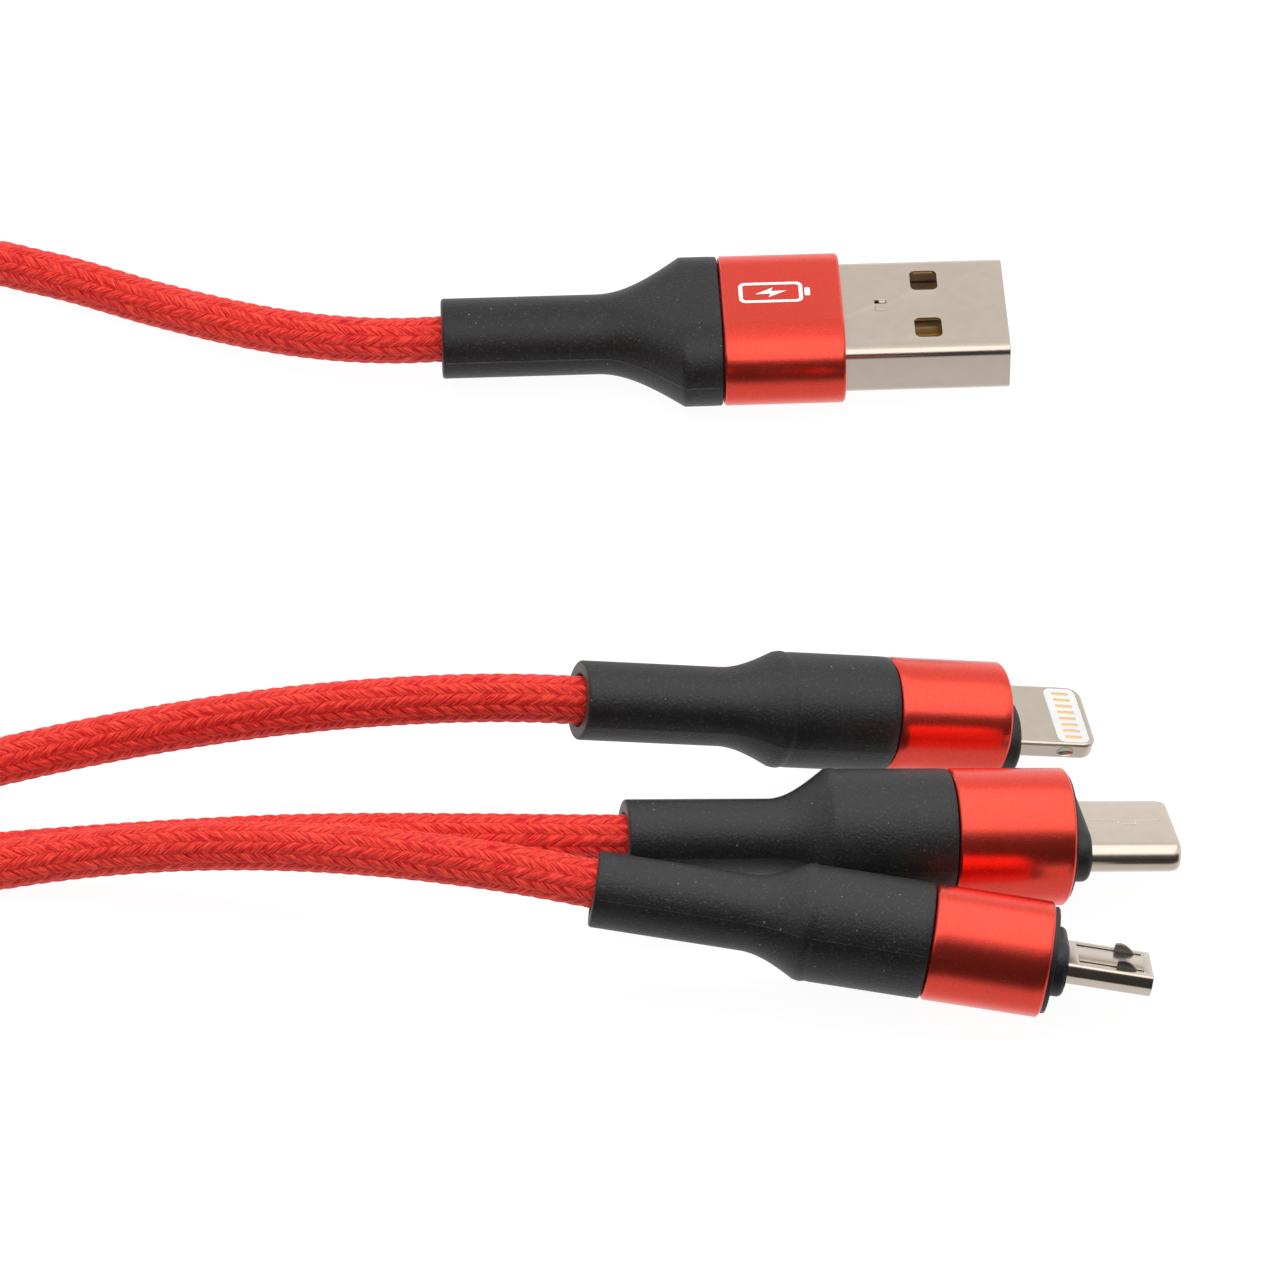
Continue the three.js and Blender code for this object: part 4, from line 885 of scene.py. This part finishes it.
# the folded sheet's seam, underneath
seam = merged(*[slab(plan(x0, x1, y - 0.03, y + 0.03, 0.01, 2), -2.262, -2.2) for x0, x1, y in ((0.4, 4.2, 0.0), (6.4, 13.2, 0.0))],
              slab(plan(4.17, 4.23, -0.5, 0.5, 0.01, 2), -2.262, -2.2), slab(plan(6.37, 6.43, -0.5, 0.5, 0.01, 2), -2.262, -2.2), slab(plan(4.2, 6.4, -0.53, -0.47, 0.01, 2), -2.262, -2.2), slab(plan(4.2, 6.4, 0.47, 0.53, 0.01, 2), -2.262, -2.2))
finish_mesh("type_a_seam", *seam, A_FRAME, "spring_steel", slot="nickel", sharp=40)

# ------------------------------------------------------------ eight-pin tab
def tab():
    w, t, edge = 3.35, 0.75, 0.26

    def outline(inset):
        x1, r = 7.5 - inset, 1.15
        pts = [(-2.8, -(w - inset))]
        for cy, a0 in ((-(w - r), -90), (w - r, 0)):
            for i in range(9):
                a = math.radians(a0 + 90 * i / 8)
                pts.append((7.5 - r + (r - inset) * math.cos(a), cy + (r - inset) * math.sin(a)))
        pts.append((-2.8, w - inset))
        return pts

    body = slab(outline, -t, t, edge, 5)
    cut = []
    for side in (1, -1):
        v, f = [], []
        for i in range(17):  # the detent: a shallow oval scoop
            a = math.pi * i / 16
            for j in range(24):
                b = 2 * math.pi * j / 24
                v.append((5.0 + 0.72 * math.sin(a) * math.cos(b), side * (3.45 - 0.34 * math.cos(a)), 0.52 * math.sin(a) * math.sin(b)))
        for i in range(16):
            for j in range(24):
                k = (j + 1) % 24
                f.append((i * 24 + j, i * 24 + k, (i + 1) * 24 + k, (i + 1) * 24 + j))
        cut.append((v, f))
    for z in (-1, 1):
        cut.append(slab(plan(4.38, 7.02, -3.07, 3.07, 0.62, 6), min(z * 0.68, z * 1.2), max(z * 0.68, z * 1.2)))
    return carve(body, cut)


finish_mesh("eight_pin_tab_skin", *tab(), E_FRAME, "nickel_side", slot="nickel", stands_for=["eight_pin_tab"], sharp=32)
insert, pads = [], []
for side in (1, -1):
    lo, hi = sorted((side * 0.60, side * 0.752))
    edges = (0.03, 0.0) if side > 0 else (0.0, 0.03)
    insert.append(slab(plan(4.39, 7.01, -3.06, 3.06, 0.61, 6), lo, hi, edges[0], 3, edges[1]))
    for i in range(8):
        y = (i - 3.5) * 0.70
        lo, hi = sorted((side * 0.70, side * 0.766))
        pads.append(slab(plan(5.02, 6.42, y - 0.165, y + 0.165, 0.07, 4), lo, hi, 0.02 if side > 0 else 0.0, 3, 0.0 if side > 0 else 0.02))
finish_mesh("eight_pin_insert_skin", *merged(*insert), E_FRAME, "white_insert", slot="white_insert", stands_for=["eight_pin_insert_top", "eight_pin_insert_bottom"], sharp=40)
finish_mesh("eight_pin_pads", *merged(*pads), E_FRAME, "pad_gold", slot="contact_gold", stands_for=["eight_pin_board"], sharp=40)


def nose_disc(R, top, proud, edge):
    prof = [(-3.0, R - 0.65), (-0.06, R - 0.62), (-0.02, top - 0.0)]
    for i in range(6):
        a = math.pi / 2 * i / 5
        prof.append((proud - edge * (1 - math.sin(a)), top - edge * (1 - math.cos(a))))
    return prof


disc = lathe(nose_disc(4.45, 3.75, 0.12, 0.10) + [(0.13, 2.4), (0.13, 0.0)], 96)
lip_v, lip_f = lathe([(-1.0, 0.0), (-1.0, 2.5), (0.85, 2.66), (1.15, 2.55), (1.30, 2.30), (1.36, 1.8), (1.38, 0.0)], 72)
lip = ([(x, 1.17 * y - 1.05, z - 0.78) for x, y, z in lip_v], lip_f)  # the moulding stands proud under the tab
v, f = merged(disc, lip)
finish_mesh("eight_pin_nose_skin", v, f, E_FRAME, "nose_rubber", slot="black_plastic", stands_for=["eight_pin_nose"], sharp=45)

# ------------------------------------------------------------ type-C shell and collar
def shell_c():
    def loop(wide, high):
        return sub(rr(8.25 - 2 * wide, 2.4 - 2 * high, 1.2 - high - 0.005, 14), 99)

    wall = 0.2
    xs = [(-4.4, 0.0, 0.0), (0.5, 0.0, 0.0), (4.0, 0.0, 0.0), (7.6, 0.0, 0.0)]
    for i in range(1, 13):  # the mouth's rim is drawn in: far at the narrow sides, a little at the flats
        a = math.pi / 2 * i / 12
        x = 7.6 + 0.9 * math.sin(a)
        xs.append((x, 0.62 * (1 - math.cos(a)), 0.30 * max(0.0, (1 - math.sqrt(max(0.0, 1 - max(0.0, (x - 8.15) / 0.35) ** 2))))))
    xs += [(8.49, 0.66, 0.335), (8.42, 0.72, 0.36), (7.95, 0.26, 0.25), (7.6, wall, wall), (1.0, wall, wall), (-1.0, wall, wall), (-1.0, wall + 0.55, wall + 0.4)]
    return skin([(x, loop(w, h)) for x, w, h in xs])


finish_mesh("type_c_shell_skin", *shell_c(), C_FRAME, "nickel", slot="nickel", stands_for=["type_c_shell"], sharp=35)
# The seam's ribs are real and raised. Their paler steel is a painted highlight along the seam line.
ribs = []
for xa, xb, y in ((1.9, 4.2, 0.38), (4.5, 5.6, -0.20), (5.5, 7.5, 0.32), (4.18, 4.24, 0.1), (5.52, 5.58, 0.05)):
    w = 0.030 if xb - xa > 0.1 else 0.26
    ribs.append(slab(plan(xa, xb, y - w, y + w, 0.008, 2), 1.18, 1.214))
finish_mesh("type_c_seam", *merged(*ribs), C_FRAME, "seam_steel", slot="nickel", sharp=40)


def collar(w, h, r, length, edge, disc_R, disc_top, disc_proud, hole):
    sections = [(-0.4, rr(w, h, r, 12))]
    for i in range(6):
        a = math.pi / 2 * i / 5
        q = edge * (1 - math.cos(a))
        sections.append((length - edge * (1 - math.sin(a)), rr(w - 2 * q, h - 2 * q, r - q, 12)))
    sections.append((length + 0.01, hole))
    sections.append((length - 0.35, hole))
    body = skin(sections)
    disc = lathe(nose_disc(disc_R, disc_top, disc_proud, 0.14) + [(disc_proud + 0.02, 1.5), (disc_proud + 0.02, 0.0)], 96)
    return merged(body, disc)


hole_c = [(y, z) for y, z in rr(8.40, 2.55, 1.27, 12)]
finish_mesh("type_c_nose_skin", *collar(9.3, 4.3, 2.1, 1.45, 0.55, 5.25, 4.85, 0.22, hole_c), C_FRAME, "nose_rubber", slot="black_plastic", stands_for=["type_c_nose"], sharp=45)

# ------------------------------------------------------------ micro type-B shell, hooks and nose
def keystone(o, n=6):
    """The shell's outline in Y and Z, inset by o: wide face up, lower corners cut away."""
    w, b, h = 3.425 - o, 2.6 - o * 0.6, 0.9 - o
    r, pts = max(0.32 - o, 0.08), []
    corners = [((-b, -h), 0.35), ((b, -h), 0.35), ((w, -0.1), 0.30), ((w, h), r), ((-w, h), r), ((-w, -0.1), 0.30)]
    m = len(corners)
    for i, (p, rad) in enumerate(corners):
        p0, p1 = Vector(corners[i - 1][0]), Vector(corners[(i + 1) % m][0])
        p = Vector(p)
        a, c = (p0 - p).normalized(), (p1 - p).normalized()
        half = math.acos(max(-1, min(1, a.dot(c)))) / 2
        rad = max(rad - o * 0.5, 0.06)
        d = rad / math.tan(half)
        s, e = p + a * d, p + c * d
        for k in range(n + 1):
            t = k / n
            q = (1 - t) ** 2 * s + 2 * t * (1 - t) * p + t**2 * e
            pts.append((q.x, q.y))
    return pts


def shell_m():
    wall = 0.25
    xs = [(-4.0, 0), (2.0, 0), (7.83, 0), (7.88, 0.025), (7.9, 0.07), (7.9, wall - 0.04), (7.86, wall), (2.0, wall), (-1.3, wall), (-1.3, wall + 0.3)]
    body = skin([(x, keystone(i)) for x, i in xs])
    cut = []
    for y in (-2.2, 2.2):
        cut.append(slab(plan(2.25, 7.2, y - 0.29, y + 0.29, 0.1, 3), 0.42, 1.4))
    return carve(body, cut, 0.03)


finish_mesh("micro_shell_skin", *shell_m(), M_FRAME, "nickel", slot="nickel", stands_for=["micro_shell"], sharp=32)


def hook(side):
    y = side * 2.2
    fin = [(5.10, 0.45), (5.12, 0.98), (5.17, 1.30), (5.22, 1.42), (5.40, 1.46), (5.62, 1.48), (5.88, 1.43), (6.14, 1.31), (6.38, 1.14), (6.58, 0.96), (6.74, 0.78), (6.82, 0.62), (6.82, 0.45)]
    n = len(fin)
    v = []
    for dy, s in ((-0.21, 0.0), (-0.16, 0.04), (0.16, 0.04), (0.21, 0.0)):
        for x, z in fin:
            v.append((x, y + dy, z + (s if z > 0.7 else 0)))
    f = [(k * n + i, k * n + (i + 1) % n, (k + 1) * n + (i + 1) % n, (k + 1) * n + i) for k in range(3) for i in range(n)]
    f += [tuple(range(n))[::-1], tuple(3 * n + i for i in range(n))]
    arm = slab(plan(-1.0, 6.98, y - 0.2, y + 0.2, 0.08, 3), 0.36, 0.60, 0.04, 2)
    raised = slab(plan(2.95, 6.98, y - 0.2, y + 0.2, 0.08, 3), 0.52, 0.70, 0.04, 2)
    return merged((v, f), arm, raised)


finish_mesh("micro_hook_left", *hook(1), M_FRAME, "spring_steel", body="micro_left_hook", slot="spring_steel", stands_for=["micro_latch_left"], sharp=35)
finish_mesh("micro_hook_right", *hook(-1), M_FRAME, "spring_steel", body="micro_right_hook", slot="spring_steel", stands_for=["micro_latch_right"], sharp=35)


def roundrect_collar():
    hole = rr(6.95, 1.9, 0.3, 12)
    return collar(7.5, 4.25, 1.75, 1.4, 0.5, 4.42, 4.05, 0.42, hole)


finish_mesh("micro_nose_skin", *roundrect_collar(), M_FRAME, "nose_rubber", slot="black_plastic", stands_for=["micro_nose"], sharp=45)
line = merged(*[slab(plan(0.42, 1.05, side * 3.75 - 0.03, side * 3.75 + 0.03, 0.01, 2), -0.05, 0.05) for side in (1, -1)])
finish_mesh("micro_nose_seam", *line, M_FRAME, "nose_rubber", slot="black_plastic", sharp=60)

# ------------------------------------------------------------ splitter outlet
def outlet():
    def loop(w, h):
        return rr(w, h, h / 2 - 0.01, 16)

    sections = [(-2.5, loop(14.2, 6.6)), (0.05, loop(14.2, 6.6)), (0.06, loop(15.2, 7.6)), (1.2, loop(15.2, 7.6)), (1.45, loop(15.05, 7.45)), (1.58, loop(14.8, 7.2)), (1.62, loop(14.4, 6.8))]
    body = skin(sections)
    rings = []
    for k in (-1, 0, 1):
        prof = [(1.5, 2.28), (1.7, 2.20), (3.2, 2.15), (3.38, 2.11), (3.48, 2.02), (3.5, 1.95), (3.4, 1.88), (1.5, 1.86)]
        v, f = lathe(prof, 56, True)
        rings.append(([(x, y + 4.6 * k, z) for x, y, z in v], f))
    return merged(body, *rings)


finish_mesh("splitter_outlet_skin", *outlet(), S_FRAME, "boot_rubber", slot="boot_rubber", stands_for=["splitter_outlet_cap"], sharp=45)

# ------------------------------------------------------------ carried-over CAD nodes
KEEP = {
    "type_a_tongue": "tongue_plastic", "type_a_core": "black_plastic",
    "type_a_contact_1": "contact_gold", "type_a_contact_2": "contact_gold", "type_a_contact_3": "contact_gold", "type_a_contact_4": "contact_gold",
    "type_a_crimp": "crimp_steel", "eight_pin_crimp": "crimp_steel", "type_c_crimp": "crimp_steel", "micro_crimp": "crimp_steel",
    "type_c_insulator": "black_plastic", "type_c_board": "board", "type_c_contacts_upper": "contact_gold", "type_c_contacts_lower": "contact_gold",
    "type_c_latch_left": "spring_steel", "type_c_latch_right": "spring_steel", "micro_insulator": "black_plastic", "splitter_core": "black_plastic",
}
for i in range(1, 6):
    KEEP["micro_contact_%d" % i] = "contact_gold"
for node, material in KEEP.items():
    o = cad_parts[node]
    o.data.materials.clear()
    o.data.materials.append(MAT[material])

# ------------------------------------------------------------ stage and light, with a painted floor reflection and a painted highlight card
def shadeless(name, colour, strength, diffuse=0.0):
    m = bpy.data.materials.new(name)
    m.use_nodes = True
    t = m.node_tree
    t.nodes.clear()
    out = t.nodes.new("ShaderNodeOutputMaterial")
    e = t.nodes.new("ShaderNodeEmission")
    e.inputs[0].default_value, e.inputs[1].default_value = (*colour, 1), strength
    if diffuse:
        d = t.nodes.new("ShaderNodeBsdfDiffuse")
        d.inputs[0].default_value = (diffuse, diffuse, diffuse, 1)
        a = t.nodes.new("ShaderNodeAddShader")
        t.links.new(e.outputs[0], a.inputs[0])
        t.links.new(d.outputs[0], a.inputs[1])
        t.links.new(a.outputs[0], out.inputs[0])
    else:
        t.links.new(e.outputs[0], out.inputs[0])
    return m


def stage_mesh(name, verts, faces, material, **seen):
    mesh = bpy.data.meshes.new(name)
    mesh.from_pydata(verts, [], faces)
    mesh.materials.append(material)
    o = bpy.data.objects.new(name, mesh)
    bpy.context.scene.collection.objects.link(o)
    for k in ("camera", "diffuse", "glossy", "transmission", "shadow"):
        setattr(o, "visible_" + k, seen.get(k, False))
    return o


W = 6.0
quad = lambda z: [(-W, -W, z), (W, -W, z), (W, W, z), (-W, W, z)]
stage_mesh("floor", quad(0.0), [(0, 1, 2, 3)], shadeless("floor_white", (1, 1, 1), 0.955, 0.11), camera=True, diffuse=True, shadow=True)
# Painted reflection: a glowing sheet just under the floor, not a lamp, seen only in reflections, standing in for the
# floor's shaded reflection.
stage_mesh("painted_floor_reflection", quad(-0.0006), [(0, 1, 2, 3)], shadeless("painted_reflection_grey", (1, 1, 1), 1.0), glossy=True)
bm = bmesh.new()
bmesh.ops.create_uvsphere(bm, u_segments=48, v_segments=24, radius=5.5)
bmesh.ops.reverse_faces(bm, faces=bm.faces)
dome_mesh = bpy.data.meshes.new("backdrop")
bm.to_mesh(dome_mesh)
bm.free()
dome_mesh.materials.append(shadeless("backdrop_white", (1, 1, 1), 1.0))
dome = bpy.data.objects.new("backdrop", dome_mesh)
bpy.context.scene.collection.objects.link(dome)
for k in ("diffuse", "glossy", "transmission", "shadow"):
    setattr(dome, "visible_" + k, False)

world = bpy.data.worlds.new("studio")
bpy.context.scene.world = world
world.use_nodes = True
# The painted reflection grows dark for rays that meet it at a graze, and only for rays that come from one side, so the
# metal and rubber show a dark band.
painted_reflection_nodes = bpy.data.materials["painted_reflection_grey"].node_tree
facing = painted_reflection_nodes.nodes.new("ShaderNodeLayerWeight")
facing.inputs["Blend"].default_value = 0.5
fade = painted_reflection_nodes.nodes.new("ShaderNodeValToRGB")
fade.color_ramp.interpolation = "EASE"
for el, (pos, v) in zip(fade.color_ramp.elements, ((0.42, 0.70), (0.72, 0.04))):
    el.position, el.color = pos, (v, v, v, 1)
painted_reflection_nodes.links.new(facing.outputs["Facing"], fade.inputs[0])
where = painted_reflection_nodes.nodes.new("ShaderNodeNewGeometry")
parts = painted_reflection_nodes.nodes.new("ShaderNodeSeparateXYZ")
painted_reflection_nodes.links.new(where.outputs["Incoming"], parts.inputs[0])
front = painted_reflection_nodes.nodes.new("ShaderNodeMapRange")
front.inputs["From Min"].default_value, front.inputs["From Max"].default_value = -0.1, 0.3
painted_reflection_nodes.links.new(parts.outputs[1], front.inputs["Value"])
both = painted_reflection_nodes.nodes.new("ShaderNodeMix")
both.data_type = "RGBA"
painted_reflection_nodes.links.new(front.outputs[0], both.inputs[0])
both.inputs[6].default_value = (0.90, 0.90, 0.90, 1)
painted_reflection_nodes.links.new(fade.outputs[0], both.inputs[7])
painted_reflection_nodes.links.new(both.outputs[2], [n for n in painted_reflection_nodes.nodes if n.type == "EMISSION"][0].inputs[0])
t = world.node_tree
t.nodes.clear()
out = t.nodes.new("ShaderNodeOutputWorld")
bg = t.nodes.new("ShaderNodeBackground")
co = t.nodes.new("ShaderNodeTexCoord")
sep = t.nodes.new("ShaderNodeSeparateXYZ")
t.links.new(co.outputs["Generated"], sep.inputs[0])
neg = t.nodes.new("ShaderNodeMath")
neg.operation = "MULTIPLY"
neg.inputs[1].default_value = -1.0
t.links.new(sep.outputs[1], neg.inputs[0])
ang = t.nodes.new("ShaderNodeMath")
ang.operation = "ARCTAN2"
t.links.new(neg.outputs[0], ang.inputs[0])
t.links.new(sep.outputs[2], ang.inputs[1])
unit = t.nodes.new("ShaderNodeMapRange")
unit.inputs["From Min"].default_value, unit.inputs["From Max"].default_value = -math.pi, math.pi
t.links.new(ang.outputs[0], unit.inputs["Value"])
sky = t.nodes.new("ShaderNodeValToRGB")
sky.color_ramp.interpolation = "EASE"
stops = [(-180, 0.6), (-100, 1.0), (-78, 1.0), (-60, 0.80), (-44, 0.78), (-10, 0.92), (12, 1.05), (26, 1.0), (36, 0.62), (50, 0.06), (96, 0.03), (106, 0.35), (180, 0.6)]
e = sky.color_ramp.elements
while len(e) < len(stops):
    e.new(0.5)
for el, (deg, v) in zip(e, stops):
    el.position = (deg + 180) / 360
    el.color = (v, v, v, 1)
t.links.new(unit.outputs[0], sky.inputs[0])
t.links.new(sky.outputs[0], bg.inputs[0])
bg.inputs[1].default_value = 1.0
t.links.new(bg.outputs[0], out.inputs[0])

# Painted highlight: a glowing card, not a lamp, seen only in reflections, that lays the bright highlight band on the
# sleeves and metal shells.
stage_mesh("painted_highlight_card", [(0.010, -0.076, 0.070), (0.150, -0.076, 0.070), (0.150, 0.022, 0.070), (0.010, 0.022, 0.070)], [(0, 1, 2, 3)], shadeless("painted_highlight_white", (1, 1, 1), 1.6), glossy=True)

key_data = bpy.data.lights.new("key", "AREA")
key_data.shape, key_data.size, key_data.size_y = "RECTANGLE", 1.1, 0.45
key_data.energy = 7.2
key = bpy.data.objects.new("key", key_data)
key.location = (0.02, 0.10, 0.95)
key.rotation_euler = (Vector((0.02, 0.0, 0.0)) - key.location).to_track_quat("-Z", "Y").to_euler()
key.visible_glossy = False
bpy.context.scene.collection.objects.link(key)
